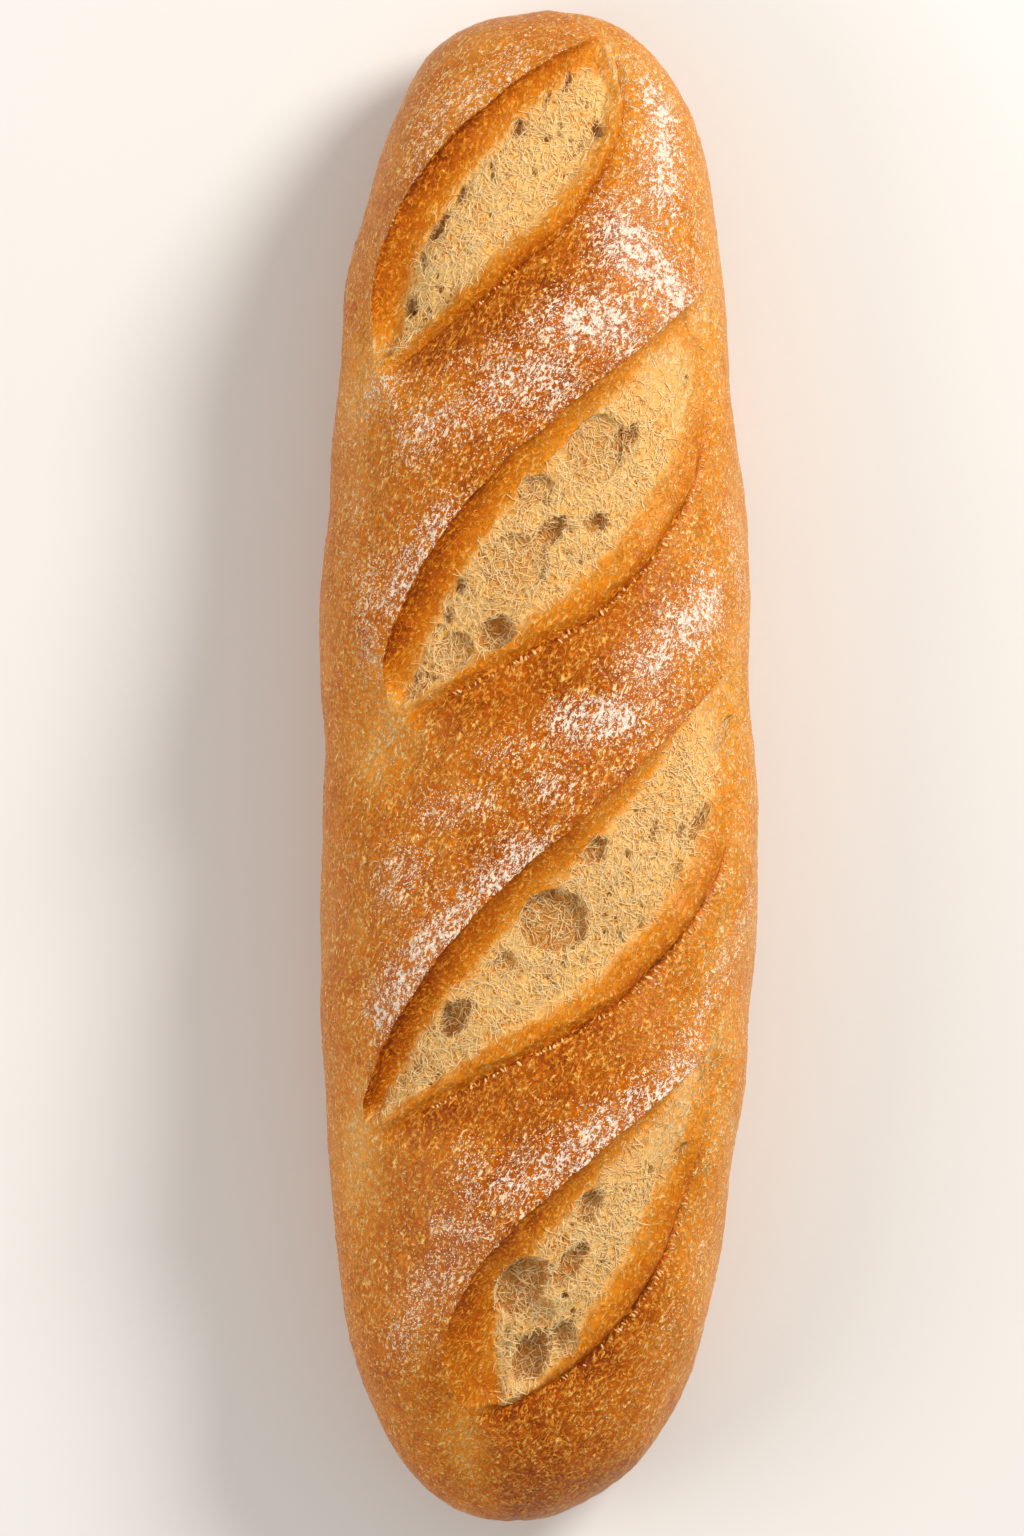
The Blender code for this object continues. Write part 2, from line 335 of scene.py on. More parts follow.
# Streaks of flour: two ends as x, arc, x, arc, then the half width, in mm, and how thick it lies
FLOUR_STREAKS = (
    (121, -38, 107, -32, 5.2, 1.00),
    (97, -18, 89, -29, 5.2, 1.00),
    (82, -3, 82, -14, 4.4, 1.00),
    (70, 7, 72, -1, 3.7, 0.90),
    (69, 38, 79, 6, 2.2, 0.75),
    (62, 25, 66, 12, 3.7, 0.62),
    (31, 29, 46, 17, 2.6, 0.62),
    (36, 34, 20, 34, 2.4, 0.50),
    (19, -18, 31, -37, 3.7, 1.00),
    (8, -5, 9, -14, 3.2, 1.00),
    (2, 8, 4, 3, 1.7, 0.55),
    (-4, -1, -2, -2, 2.4, 0.60),
    (-9, 20, -7, 9, 2.0, 0.55),
    (-23, 28, -19, 25, 3.0, 0.65),
    (-45, 31, -17, 3, 2.9, 0.76),
    (44, -48, 33, -51, 3.0, 0.40),
    (-50, -32, -26, -52, 2.4, 0.50),
    (-53, -28, -49, -32, 2.4, 0.50),
    (-77, 4, -57, -29, 3.2, 0.72),
    (-71, 12, -80, 11, 2.2, 0.56),
    (-85, 17, -85, 9, 2.0, 0.60),
    (-107, 31, -91, 16, 2.8, 0.55),
    (-62, 6, -62, -2, 1.3, 0.30),
    (-105, -34, -89, -46, 1.7, 0.25),
    (121, 29, 130, 6, 2.8, 0.45),
    (122, 36, 114, 28, 4.1, 0.34),
    (99, -45, 90, -44, 2.2, 0.50),
    (20, -9, 18, -10, 1.1, 0.50),
    (-118, -17, -117, -28, 1.7, 0.20),
    (60, 49, 70, 34, 1.9, 0.40),
    (49, 44, 31, 39, 2.6, 0.25),
    (12, -18, 23, -30, 3.3, 0.50),
)

# Fineness of the sheets
CRUST_STATIONS = 398
CRUST_AROUND = 248
UNDERSIDE_SHARE = 0.4
UNDERSIDE_TURN = 1.85
SCORE_ROW = 0.32
SCORE_END_ROWS = 16
SCORE_COLUMNS = 122
RIM_COLUMNS = 18
BACK_COLUMNS = 8

# Tones in sRGB, each at its place from 0 to 1: bread from raw dough to dark crust, crumb from its
# pits, darker with painted shade, to its threads, and what lies on them
TOAST_TONES = (
    (0.00, (240, 205, 150)),
    (0.20, (236, 184, 110)),
    (0.40, (232, 150, 48)),
    (0.60, (216, 126, 14)),
    (0.80, (184, 89, 5)),
    (1.00, (118, 44, 2)),
)
CRUMB_TONES = (
    (0.00, (212, 108, 12)),
    (0.25, (236, 144, 36)),
    (0.45, (252, 191, 96)),
    (1.00, (255, 219, 152)),
)
# Painted shade in the deep pores: a darker, warmer tone than the crumb's
PAINTED_PORE_SHADE_TONE = (246, 152, 46)
STRAND_TONES = ((0.0, (250, 210, 142)), (1.0, (255, 234, 180)))
# Thin film on the crust's raised dashes: flour specks and painted highlights
THIN_FLOUR_AND_GLINT_TONE = (255, 198, 100)
FLOUR_TONE = (255, 234, 212)
FLOUR_GRAIN_TONES = ((0.0, (246, 218, 186)), (1.0, (255, 240, 222)))
FLOOR_TONES = ((0.0, (226, 224, 220)), (1.0, (236, 234, 231)))

# Low gloss, because the flour breaks up the reflections; the crust's glints are painted highlights in its
# colour
CRUST_GLOSS = 0.14
BLISTER_GLOSS = 0.42
STRAND_GLOSS = 0.3
FLOUR_GLOSS = 0.2

# Turn of the crust's fine grain from the loaf's length
GRAIN_TURN = math.radians(-32)


# Plain maths on the flat layout, in millimetres

def ease(value):
    """Smooth step from 0 to 1."""
    t = np.clip(value, 0, 1)
    return t * t * (3 - 2 * t)


def hump(value):
    """A soft hump: 1 at 0, and nearly gone at 2."""
    return np.exp(-np.asarray(value) ** 2)


def mottle(x, arc, size, seed):
    """Smooth random mottling between -1 and 1, in patches of about this size."""
    cells = 256
    table = np.random.default_rng(seed).uniform(-1, 1, (cells, cells))
    u, v = x / size, arc / size
    i, j = np.floor(u).astype(int), np.floor(v).astype(int)
    s, t = ease(u - i), ease(v - j)
    i, j, after_i, after_j = i % cells, j % cells, (i + 1) % cells, (j + 1) % cells
    near = table[i, j] * (1 - s) + table[after_i, j] * s
    far = table[i, after_j] * (1 - s) + table[after_i, after_j] * s
    return near * (1 - t) + far * t


def mottles(x, arc, waves, seed):
    """Mottling of several heights and sizes, added up."""
    return sum(height * mottle(x, arc, size, seed + step) for step, (height, size) in enumerate(waves))


def lens(side, along):
    """Half-width of a score on one side of its axis, at a share along its length."""
    t = np.clip(along, 0, 1)
    peak = side.rise / (side.rise + side.fade)
    highest = peak ** side.rise * (1 - peak) ** side.fade
    return side.reach * t ** side.rise * (1 - t) ** side.fade / highest


class OpenedScore:
    """One score on the flat layout: its axis, its edges, and what the bread does around it."""

    def __init__(self, score, seed):
        self.score, self.seed = score, seed
        self.start = np.array(score.start)
        run = np.array(score.end) - self.start
        self.length = math.hypot(*run)
        self.ahead = run / self.length
        self.pinholes = self.strewn_pinholes()

    def strewn_pinholes(self):
        """Small bubbles over the crumb: run, offset and radius."""
        rng = np.random.default_rng(self.seed + 9)
        count = int(self.length * PINHOLES_PER_LENGTH)
        along = 0.05 + 0.85 * rng.random(count) ** 1.3
        high, low = lens(self.score.crumb_lip, along), lens(self.score.crumb_crease, along)
        offset = -low + (high + low) * rng.uniform(0.05, 0.95, count)
        radius = PINHOLE_LEAST + PINHOLE_SPREAD * rng.random(count) ** 3
        return list(zip(along * self.length, offset, radius))

    def place(self, x, arc):
        """Distance along the axis from the start, and offset from it towards the lip."""
        dx, da = x - self.start[0], arc - self.start[1]
        return dx * self.ahead[0] + da * self.ahead[1], da * self.ahead[0] - dx * self.ahead[1]

    def spread(self, run, offset):
        """x and arc of a place on the score."""
        x = self.start[0] + run * self.ahead[0] - offset * self.ahead[1]
        arc = self.start[1] + run * self.ahead[1] + offset * self.ahead[0]
        return x, arc

    def edges(self, run):
        """Offsets of the lip and of the crease from the axis, both positive."""
        along = run / self.length
        line = np.zeros_like(run)
        wide = ease(lens(self.score.lip, along) / 4)
        lip = lens(self.score.lip, along) + wide * mottles(run, line, LIP_WAVES, self.seed)
        crease = lens(self.score.crease, along) + wide * mottles(run, line, CREASE_WAVES, self.seed + 2)
        return lip, crease

    def pores(self, run, offset, torn):
        """Depth of the burst bubbles in the crumb, and how far their walls reach under the rims."""
        x, arc = self.spread(run, offset)
        run = run + mottles(x, arc, PORE_WAVES, 71)
        offset = offset + mottles(x, arc, PORE_WAVES, 73)
        depth, ahead_shift, aside_shift = (np.zeros_like(run) for _ in range(3))
        for pore in self.score.pores:
            half_long, half_short = PORES_WIDENED * pore.half_long, PORES_WIDENED * pore.half_short
            ahead = (run - pore.along * self.length) / half_long
            aside = (offset - pore.offset) / half_short
            far = np.clip(np.hypot(ahead, aside), 0, 1)
            depth = np.maximum(depth, PORES_DEEPENED * pore.depth * (1 - far ** 2) ** 0.35)
            under = PORE_UNDERCUT * far ** 3 * (1 - far ** 12)
            ahead_shift += under * ahead * half_long
            aside_shift += under * aside * half_short
        for ahead, aside, radius in self.pinholes:
            bowl = np.clip(1 - ((run - ahead) ** 2 + (offset - aside) ** 2) / radius ** 2, 0, 1) ** 0.6
            depth = np.maximum(depth, 1.5 * radius * bowl * torn)
        return depth, ahead_shift, aside_shift

    def layout(self, x, arc):
        """Where x, arc lies on the score: distances in mm, and shares of its bands."""
        score, here = self.score, SimpleNamespace(x=x, arc=arc)
        here.run, here.offset = self.place(x, arc)
        here.along = here.run / self.length
        here.lip, here.crease = self.edges(here.run)
        here.width = here.lip + here.crease
        here.from_lip, here.from_crease = here.lip - here.offset, here.offset + here.crease
        here.inside = (here.from_lip >= 0) & (here.from_crease >= 0)
        here.past_crease = np.maximum(-here.from_crease, 0)

        first, last = score.crumb_span
        here.crumb_along = (here.along - first) / (last - first)
        late = score.late * hump((here.along - 0.05) / 0.09)
        here.crumb_lip = lens(score.crumb_lip, here.crumb_along) - late
        here.crumb_crease = lens(score.crumb_crease, here.crumb_along)
        lip_band = np.maximum(here.lip - here.crumb_lip, NARROWEST_BAND)
        here.crease_band = np.maximum(here.crease - here.crumb_crease, NARROWEST_BAND)
        here.lip_share = np.clip(here.from_lip / lip_band, 0, 1)
        here.crease_share = np.clip(here.from_crease / here.crease_band, 0, 1)

        starts, stops = ease((here.run + 1) / TIP_EASE), ease((self.length - here.run + 1) / TIP_EASE)
        here.opening = ease(here.width / OPENING_RUN) * starts * stops
        here.to_start = np.hypot(x - score.start[0], arc - score.start[1])
        here.to_end = np.hypot(x - score.end[0], arc - score.end[1])
        here.fades = ease((here.along - BANDS_FADE_FROM) / BANDS_FADE_OVER)
        return here

    def opening_lift(self, here, fine):
        """Height of the ear, the torn wall, the crumb's rolled edge and the groove past it."""
        ear_high = EAR_HEIGHT * ease(here.along / self.score.ear_from)
        wall = ear_high - (ear_high + FLOOR_DEPTH) * (1 - (1 - here.lip_share) ** 2)
        rolled = here.from_crease
        if fine:
            rolled = rolled + mottles(here.x, here.arc, ROLL_WAVES, 81) * ease(here.from_crease / 2)
        roll = -TROUGH_DEPTH + (TROUGH_DEPTH - ROLL_DEPTH) * ease(rolled / ROLL_RUN)
        roll -= (FLOOR_DEPTH - ROLL_DEPTH) * ease((rolled - ROLL_RUN) / here.crease_band)
        ear = ear_high * np.exp(np.minimum(here.from_lip, 0) / EAR_RUN)
        groove = GROOVE_SHARE * np.exp(-here.past_crease / GROOVE_RUN)
        shoulder = (1 - GROOVE_SHARE) * np.exp(-here.past_crease / SHOULDER_RUN)
        outside = np.where(here.from_lip < 0, ear, -TROUGH_DEPTH * (groove + shoulder))
        dips = TIP_DIP * (hump(here.to_start / TIP_RUN) + hump(here.to_end / TIP_RUN))
        return here.opening * np.where(here.inside, wall + roll + FLOOR_DEPTH, outside) - dips

    def distance(self, here):
        """Distance outside the opening, negative inside it."""
        overshoot = np.maximum(np.maximum(-here.run, here.run - self.length), 0)
        beside = np.maximum(-here.from_lip, -here.from_crease)
        return np.where(overshoot > 0, np.hypot(overshoot, np.maximum(beside, 0)), beside)

    def crumb(self, here, fine):
        """The crumb and its pores: what they add to the lift, and the shares that show."""
        x, arc, along = here.x, here.arc, here.along
        crumb_in = np.minimum(here.crumb_lip - here.offset, here.offset + here.crumb_crease)
        if fine:
            crumb_in = crumb_in + mottles(x, arc, CRUMB_EDGE_WAVES, 61)
        in_crumb = here.inside * ease(here.crumb_along / 0.03) * ease((1 - here.crumb_along) / 0.12)
        shows = ease((crumb_in + 0.9) / 2.4) * in_crumb
        skin_in = along - self.score.skin_from + mottles(x, arc, SKIN_WAVES, 63)
        grown = ease(skin_in / SKIN_GROWS_OVER)
        found = {name: np.zeros_like(x) for name in ("hollow", "ahead_shift", "aside_shift")}
        lift = np.zeros_like(x)
        if fine:
            torn = ease(crumb_in / TORN_EDGE) * in_crumb
            depth, ahead_shift, aside_shift = self.pores(here.run, here.offset, torn * (1 - grown))
            well_in = ease(np.minimum(here.from_lip, here.from_crease) - PORES_KEEP_IN)
            well_in = well_in * ease(along / 0.03)
            depth = depth * well_in
            shows = np.maximum(shows, ease(depth / 0.7))
            found["ahead_shift"], found["aside_shift"] = ahead_shift * well_in, aside_shift * well_in
            across = np.clip(crumb_in / np.maximum(here.crumb_lip + here.crumb_crease, 1), 0, 0.5)
            dome = CRUMB_DOME * np.sin(np.pi * across) * torn
            lift = here.opening * (dome - CRUMB_LEDGE * torn * (1 - grown) - depth)
            found["hollow"] = np.clip(depth / HOLLOW_DEPTH, 0, 1)
        found["crumb"] = shows * ease(here.width / 5) * (1 - grown)
        return found, lift, shows * grown

    def band_toast(self, here, skin):
        """Browning inside the opening: its two bands, and the golden skin over the crumb."""
        score, along = self.score, here.along
        inner = np.interp(along, INNER_TOAST_AT, INNER_TOAST)
        lip_edge = np.interp(along, BROWNING_AT, score.lip_toast)
        crease_edge = np.interp(along, BROWNING_AT, score.crease_toast)
        lip_brown = inner + (lip_edge - inner) * (1 - here.lip_share) ** 0.9
        inner = inner - CREASE_SIDE_PALER
        crease_brown = inner + (crease_edge - inner) * (1 - here.crease_share) ** 0.9
        lip_brown += (FADED_TOAST - lip_brown) * 0.5 * here.fades
        crease_brown += (FADED_TOAST - crease_brown) * here.fades
        near_tail = ease((-85 - here.x) / 20)
        start_brown = START_TOAST + TAIL_START_DARKER * near_tail
        lip_brown += (start_brown - lip_brown) * ease(1 - along / score.ear_from)
        at_start = hump(here.to_start / 9) * (1 - 0.7 * near_tail)
        tip_pale = np.clip(at_start + 0.7 * hump(here.to_end / 10), 0, 1)
        band = np.maximum(lip_brown, crease_brown) - TIPS_PALER * tip_pale
        return band + (score.skin_toast - band) * skin

    def fields(self, x, arc, fine):
        """Relief and looks that this score gives to the bread at x, arc."""
        score, here = self.score, self.layout(x, arc)
        along, below = here.along, here.from_crease < 0
        found, crumb_lift, skin = self.crumb(here, fine)
        found["lift"] = self.opening_lift(here, fine) + crumb_lift
        found["distance"] = self.distance(here)
        found["band_toast"] = self.band_toast(here, skin)
        found["inside"] = here.inside * ease(here.width / 2.5)

        bare_first, bare_last, bare_width = score.bare
        starts = ease((along - bare_first + 0.12) / 0.12)
        stops = ease((bare_last + 0.25 - along) / 0.25)
        beyond = hump(np.maximum(here.past_crease - 1.5, 0) / bare_width) * below
        found["bare"] = starts * stops * beyond
        # Painted shade along the bottom of the crease's groove
        line = here.opening * score.crease_line * hump(here.from_crease / 0.5)
        found["line"] = line * ease((along - 0.1) / 0.2) * (1 - here.fades)
        # Painted shade along the lip, under the ear's edge
        found["lip_line"] = here.opening * hump(here.from_lip / 0.5) * ease(along / score.ear_from)

        behind_start = np.hypot(np.maximum(-here.run - 9, 0), here.offset)
        past_end = hump(np.maximum(along - 1, 0) / 0.1)
        beside_end = here.fades * below * hump(here.past_crease / 7) * past_end
        found["pale"] = 0.9 * hump(behind_start / 8) * (here.run < 12) + 0.75 * beside_end
        found["near_lip"] = here.opening * (here.from_lip < 0) * hump(here.from_lip / 3.2)
        return found


OPENED = [OpenedScore(score, 100 * number + 100) for number, score in enumerate(SCORES)]


def streak_flour(x, arc):
    """Thickness of the flour, from 0 to 1."""
    flour = np.zeros_like(x)
    for x0, arc0, x1, arc1, half_width, thick in FLOUR_STREAKS:
        dx, da = x1 - x0, arc1 - arc0
        share = np.clip(((x - x0) * dx + (arc - arc0) * da) / (dx * dx + da * da), 0, 1)
        far = np.hypot(x - x0 - share * dx, arc - arc0 - share * da)
        flour = np.maximum(flour, thick * hump(far / (STREAK_SOFTNESS * half_width)))
    return flour


def bread(x, arc, fine):
    """All that the bread is at x, arc: its lift, and the shares that its finish reads."""
    found = [opened.fields(x, arc, fine) for opened in OPENED]
    total = {name: sum(part[name] for part in found) for name in found[0]}
    inside, bare, pale = (np.clip(total[name], 0, 1) for name in ("inside", "bare", "pale"))
    tail = ease((-95 - x) / 40)
    crown = hump(arc / 28) * (1 - pale) * (1 - ease((x - 95) / 25))
    # Painted shade on the +Y flank, away from the key lamp, and painted light on the -Y flank, which faces
    # it
    shaded_side = ease((arc - 18) / 24)
    lit_side = ease((-15 - arc) / 35) * (1 - tail) * (1 - pale)
    darker = BARE_DARKER * bare + TAIL_DARKER * tail
    darker += (CROWN_DARKER * crown + SHADED_SIDE_DARKER * shaded_side) * (1 - bare)
    crust_toast_and_side_light = CRUST_TOAST + darker - SCORE_ENDS_PALER * pale * (1 - bare) - LIT_SIDE_PALER * lit_side
    band_toast = sum(part["band_toast"] * part["inside"] for part in found)
    # Painted shade: dark lines along the bottom of each crease's groove and under each ear's edge
    lines = CREASE_SHADE_DARKER * total["line"] + LIP_SHADE_DARKER * total["lip_line"]
    toast = crust_toast_and_side_light * (1 - inside) + band_toast + lines
    streaks = np.clip(streak_flour(x, arc) + FLOUR_BY_LIPS * total["near_lip"], 0, 1)
    # The flour everywhere also makes painted highlights on the crust's dashes
    flour = FLOUR_AND_GLINTS_EVERYWHERE + FLOUR_IN_STREAKS * streaks
    top = 0.3 + 0.7 * ease((100 - np.abs(arc)) / 45)
    return {
        "lift": total["lift"] - SKIN_INSET,
        "distances": [part["distance"] for part in found],
        "toast": np.minimum(toast, DARKEST_TOAST),
        "crumb": np.clip(total["crumb"], 0, 1),
        "hollow": np.clip(total["hollow"], 0, 1),
        "flour": flour * top * (1 - 0.75 * bare) * (1 - inside) * (1 - 0.3 * tail),
        "crust": 1 - inside,
        "shifts": (total["ahead_shift"], total["aside_shift"]),
    }


SHARES = ("toast", "crumb", "hollow", "flour", "crust", "shown")


# Flat sheets

def taper(x):
    """Share of full size at x, in mm: 1 at the widest station and 0 at both noses."""
    half, widest = LENGTH / MM / 2, WIDEST_AT / MM
    ahead = np.clip((x - widest) / (half - widest), 0, 1)
    behind = np.clip((widest - x) / (half + widest), 0, 1)
    head = (1 - ahead ** HEAD_OUTLINE[0]) ** (1 / HEAD_OUTLINE[1])
    return head * (1 - behind ** TAIL_OUTLINE[0]) ** (1 / TAIL_OUTLINE[1])


def crust_stations(count):
    """Stations along X, in mm, evenly spaced over the skin, without the two noses."""
    half = LENGTH / MM / 2
    fine = half * np.sin(np.linspace(-np.pi / 2, np.pi / 2, 20001))
    edge = HALF_WIDTH / MM * taper(fine)
    walked = np.concatenate([[0], np.cumsum(np.hypot(np.diff(fine), np.diff(edge)))])
    return np.interp(np.linspace(0, walked[-1], count + 2)[1:-1], walked, fine)


def crust_turns(count):
    """Turns round the loaf, closer together where the crust shows than on the underside."""
    turn = np.linspace(-np.pi, np.pi, 4001)
    wanted = UNDERSIDE_SHARE + (1 - UNDERSIDE_SHARE) * ease((UNDERSIDE_TURN + 0.2 - np.abs(turn)) / 0.4)
    walked = np.concatenate([[0], np.cumsum((wanted[1:] + wanted[:-1]) / 2)])
    return np.interp(np.linspace(0, walked[-1], count + 1)[:-1], walked, turn)


def flat_sheet(name, points, shares, turned_over):
    """A closed sheet from rows of closed rings, a fan closing each end, with its shares on it.

    points has rows, columns and (x, arc, lift). The map follows the rows and the columns.
    """
    rows, columns = points.shape[:2]
    row, column = np.meshgrid(np.arange(rows - 1), np.arange(columns), indexing="ij")
    quad_rows = np.stack([row, row + 1, row + 1, row], axis=-1).reshape(-1, 4)
    quad_columns = np.stack([column, column, column + 1, column + 1], axis=-1).reshape(-1, 4)
    ring = np.arange(columns)
    edge = np.ones(columns)
    fan_rows = np.concatenate([
        np.stack([-edge, 0 * edge, 0 * edge], axis=-1),
        np.stack([rows * edge, (rows - 1) * edge, (rows - 1) * edge], axis=-1),
    ])
    fan_columns = np.concatenate([
        np.stack([ring + 0.5, ring, ring + 1], axis=-1),
        np.stack([ring + 0.5, ring + 1, ring], axis=-1),
    ])
    if turned_over:
        quad_rows, quad_columns = quad_rows[:, ::-1], quad_columns[:, ::-1]
        fan_rows, fan_columns = fan_rows[:, ::-1], fan_columns[:, ::-1]
    all_rows = np.concatenate([quad_rows.ravel(), fan_rows.ravel()])
    all_columns = np.concatenate([quad_columns.ravel(), fan_columns.ravel()])
    vertex = all_rows * columns + all_columns.astype(int) % columns
    vertex = np.where(all_rows < 0, rows * columns, vertex)
    vertex = np.where(all_rows == rows, rows * columns + 1, vertex)
    sizes = np.concatenate([np.full(len(quad_rows), 4), np.full(len(fan_rows), 3)])

    data = bpy.data.meshes.new(name)
    data.vertices.add(rows * columns + 2)
    ends = np.stack([points[0].mean(axis=0), points[-1].mean(axis=0)])
    everything = np.concatenate([points.reshape(-1, 3), ends])
    data.vertices.foreach_set("co", everything.astype(np.float32).ravel())
    data.loops.add(len(vertex))
    data.loops.foreach_set("vertex_index", vertex.astype(np.int32))
    data.polygons.add(len(sizes))
    data.polygons.foreach_set("loop_start", (np.cumsum(sizes) - sizes).astype(np.int32))
    data.update(calc_edges=True)
    data.shade_smooth()
    for share, values in shares.items():
        attribute = data.attributes.new(share, "FLOAT", "POINT")
        flat = np.concatenate([values.ravel(), [values[0].mean(), values[-1].mean()]])
        attribute.data.foreach_set("value", flat.astype(np.float32))
    u, v = (all_rows + 1) / (rows + 1), all_columns / columns
    layer = data.uv_layers.new(name="OFBake")
    layer.data.foreach_set("uv", np.stack([u, v], axis=-1).astype(np.float32).ravel())
    return linked(name, data)


def linked(name, data):
    """A new object in the scene."""
    piece = bpy.data.objects.new(name, data)
    bpy.context.scene.collection.objects.link(piece)
    return piece


def crust_sheet():
    """The whole skin of the loaf, sunk under the four scores."""
    stations, turns = crust_stations(CRUST_STATIONS), crust_turns(CRUST_AROUND)
    x, arc = np.meshgrid(stations, HALF_WIDTH / MM * turns, indexing="ij")
    here = bread(x, arc, fine=False)
    nearest = np.min(here["distances"], axis=0)
    under = np.clip((CRUST_SINKS_AT - nearest) / CRUST_SINKS_AT, 0, 1)
    here["shown"] = np.where(nearest < SHEETS_CROSS_AT, 0.0, 1.0)
    points = np.stack([x, arc, here["lift"] - CRUST_SINK * under ** 2], axis=-1) * MM
    return flat_sheet("crust", points, {share: here[share] for share in SHARES}, turned_over=False)


def squeeze(x):
    """Keeps x, in mm, short of the two noses, without a fold."""
    free = SQUEEZE_LIMIT - SQUEEZE_FROM
    over = np.maximum(np.abs(x) - SQUEEZE_FROM, 0)
    return np.sign(x) * (np.minimum(np.abs(x), SQUEEZE_FROM) + free * (1 - np.exp(-over / free)))


def score_rows(opened):
    """Rows along a score, closer together at its two tips, and past them."""
    u = np.linspace(0, 1, int(opened.length / SCORE_ROW) + 1)
    along = opened.length * (0.5 * u + 0.25 * (1 - np.cos(np.pi * u)))
    past = RIM_REACH * np.linspace(0, 1, SCORE_END_ROWS + 1)[1:] ** 1.3
    return np.concatenate([-past[::-1], along, opened.length + past])


def score_offsets(lip, crease):
    """Offsets of each row's columns: the lip's rim, the opening, and the crease's rim."""
    rim = RIM_REACH * np.linspace(1, 0, RIM_COLUMNS + 1)[:-1] ** 1.5
    u = np.linspace(0, 1, SCORE_COLUMNS)
    across = u - 0.6 * np.sin(2 * np.pi * u) / (2 * np.pi)
    lip_side, crease_side = np.maximum(lip, 1.5)[:, None], np.maximum(crease, 1.5)[:, None]
    opening = lip_side - (lip_side + crease_side) * across
    return np.concatenate([lip_side + rim, opening, -crease_side - rim[::-1]], axis=1)


def score_sheet(number):
    """One opened score: ear, band, crumb with its pores, and crease, on a thick closed body."""
    opened = OPENED[number]
    rows = score_rows(opened)
    lip, crease = opened.edges(rows)
    offset = score_offsets(lip, crease)
    run = np.repeat(rows[:, None], offset.shape[1], axis=1)
    x, arc = opened.spread(run, offset)
    x = squeeze(x)
    here = bread(x, arc, fine=True)
    distance = here["distances"][number]
    lift = here["lift"] - RIM_DIVE * np.maximum(distance - RIM_STARTS, 0) ** 2
    here["shown"] = np.where(distance > SHEETS_CROSS_AT, 0.0, 1.0)
    from_lip = lip[:, None] - offset
    tuck = ease((lip + crease) / OPENING_RUN)[:, None]
    shove = np.where(from_lip > 0, hump(from_lip / OVERHANG_RUN), hump(from_lip / (3 * OVERHANG_RUN)))
    shift = -EAR_OVERHANG * shove * tuck
    under_ahead, under_aside = here["shifts"]
    shift = shift + under_aside
    x = x + under_ahead * opened.ahead[0] - shift * opened.ahead[1]
    arc = arc + under_ahead * opened.ahead[1] + shift * opened.ahead[0]

    back = np.linspace(1, 0, BACK_COLUMNS + 2)[1:-1]
    depth = SHEET_BODY * np.clip(4 * np.minimum(1 - back, back), 0.15, 1)
    low_offset = offset[:, -1:] + (offset[:, :1] - offset[:, -1:]) * (1 - back)
    low_x, low_arc = opened.spread(np.repeat(rows[:, None], BACK_COLUMNS, axis=1), low_offset)
    low_lift = np.minimum(lift[:, :1], lift[:, -1:]) - depth
    sheet = np.hstack([x, squeeze(low_x)]), np.hstack([arc, low_arc]), np.hstack([lift, low_lift])
    shares = {share: np.hstack([here[share], np.zeros_like(low_x)]) for share in SHARES}
    return flat_sheet(f"opened_score_{number + 1}", np.stack(sheet, axis=-1) * MM, shares, turned_over=True)


# Node trees. Arithmetic on a Wire adds the math node that does it.

class Wire:
    """One value in a node tree."""

    def __init__(self, tree, socket):
        self.tree, self.socket = tree, socket

    def math(self, operation, *values):
        node = self.tree.nodes.new("ShaderNodeMath")
        node.operation = operation
        for slot, value in zip(node.inputs, values):
            feed(self.tree, value, slot)
        return Wire(self.tree, node.outputs[0])

    def __add__(self, other):
        return self.math("ADD", self, other)

    def __sub__(self, other):
        return self.math("SUBTRACT", self, other)

    def __rsub__(self, other):
        return self.math("SUBTRACT", other, self)

    def __mul__(self, other):
        return self.math("MULTIPLY", self, other)

    def __truediv__(self, other):
        return self.math("DIVIDE", self, other)

    def __rtruediv__(self, other):
        return self.math("DIVIDE", other, self)

    def __pow__(self, other):
        return self.math("POWER", self, other)

    __radd__, __rmul__ = __add__, __mul__

    def of(self, operation):
        """A math function of this value alone."""
        return self.math(operation, self)

    def clipped(self):
        return self.math("MINIMUM", self.math("MAXIMUM", self, 0.0), 1.0)

    def above(self, floor):
        return self.math("MAXIMUM", self, floor)

    def eased(self):
        """Smooth step from 0 to 1."""
        held = self.clipped()
        return held * held * (3.0 - held * 2.0)

    def signed_power(self, power):
        return self.of("SIGN") * self.of("ABSOLUTE") ** power


def feed(tree, value, slot):
    """Gives a socket a wire or a plain value."""
    if isinstance(value, Wire):
        tree.links.new(value.socket, slot)
    else:
        slot.default_value = value


def add_node(tree, kind, settings=None, **inputs):
    """A node with its settings and named inputs."""
    node = tree.nodes.new(kind)
    for setting, value in (settings or {}).items():
        setattr(node, setting, value)
    for name, value in inputs.items():
        feed(tree, value, node.inputs[name.replace("_", " ")])
    return node


def made(tree, kind, settings=None, output=0, **inputs):
    """One output of a new node, as a wire."""
    return Wire(tree, add_node(tree, kind, settings, **inputs).outputs[output])


def vector_math(tree, operation, first, second=None, output="Vector"):
    """Vector arithmetic on wires or plain values."""
    node = add_node(tree, "ShaderNodeVectorMath", {"operation": operation})
    feed(tree, first, node.inputs[0])
    if second is not None:
        feed(tree, second, node.inputs[3 if operation == "SCALE" else 1])
    return Wire(tree, node.outputs[output])


def split(tree, vector):
    """The three parts of a vector."""
    node = add_node(tree, "ShaderNodeSeparateXYZ", Vector=vector)
    return [Wire(tree, output) for output in node.outputs]


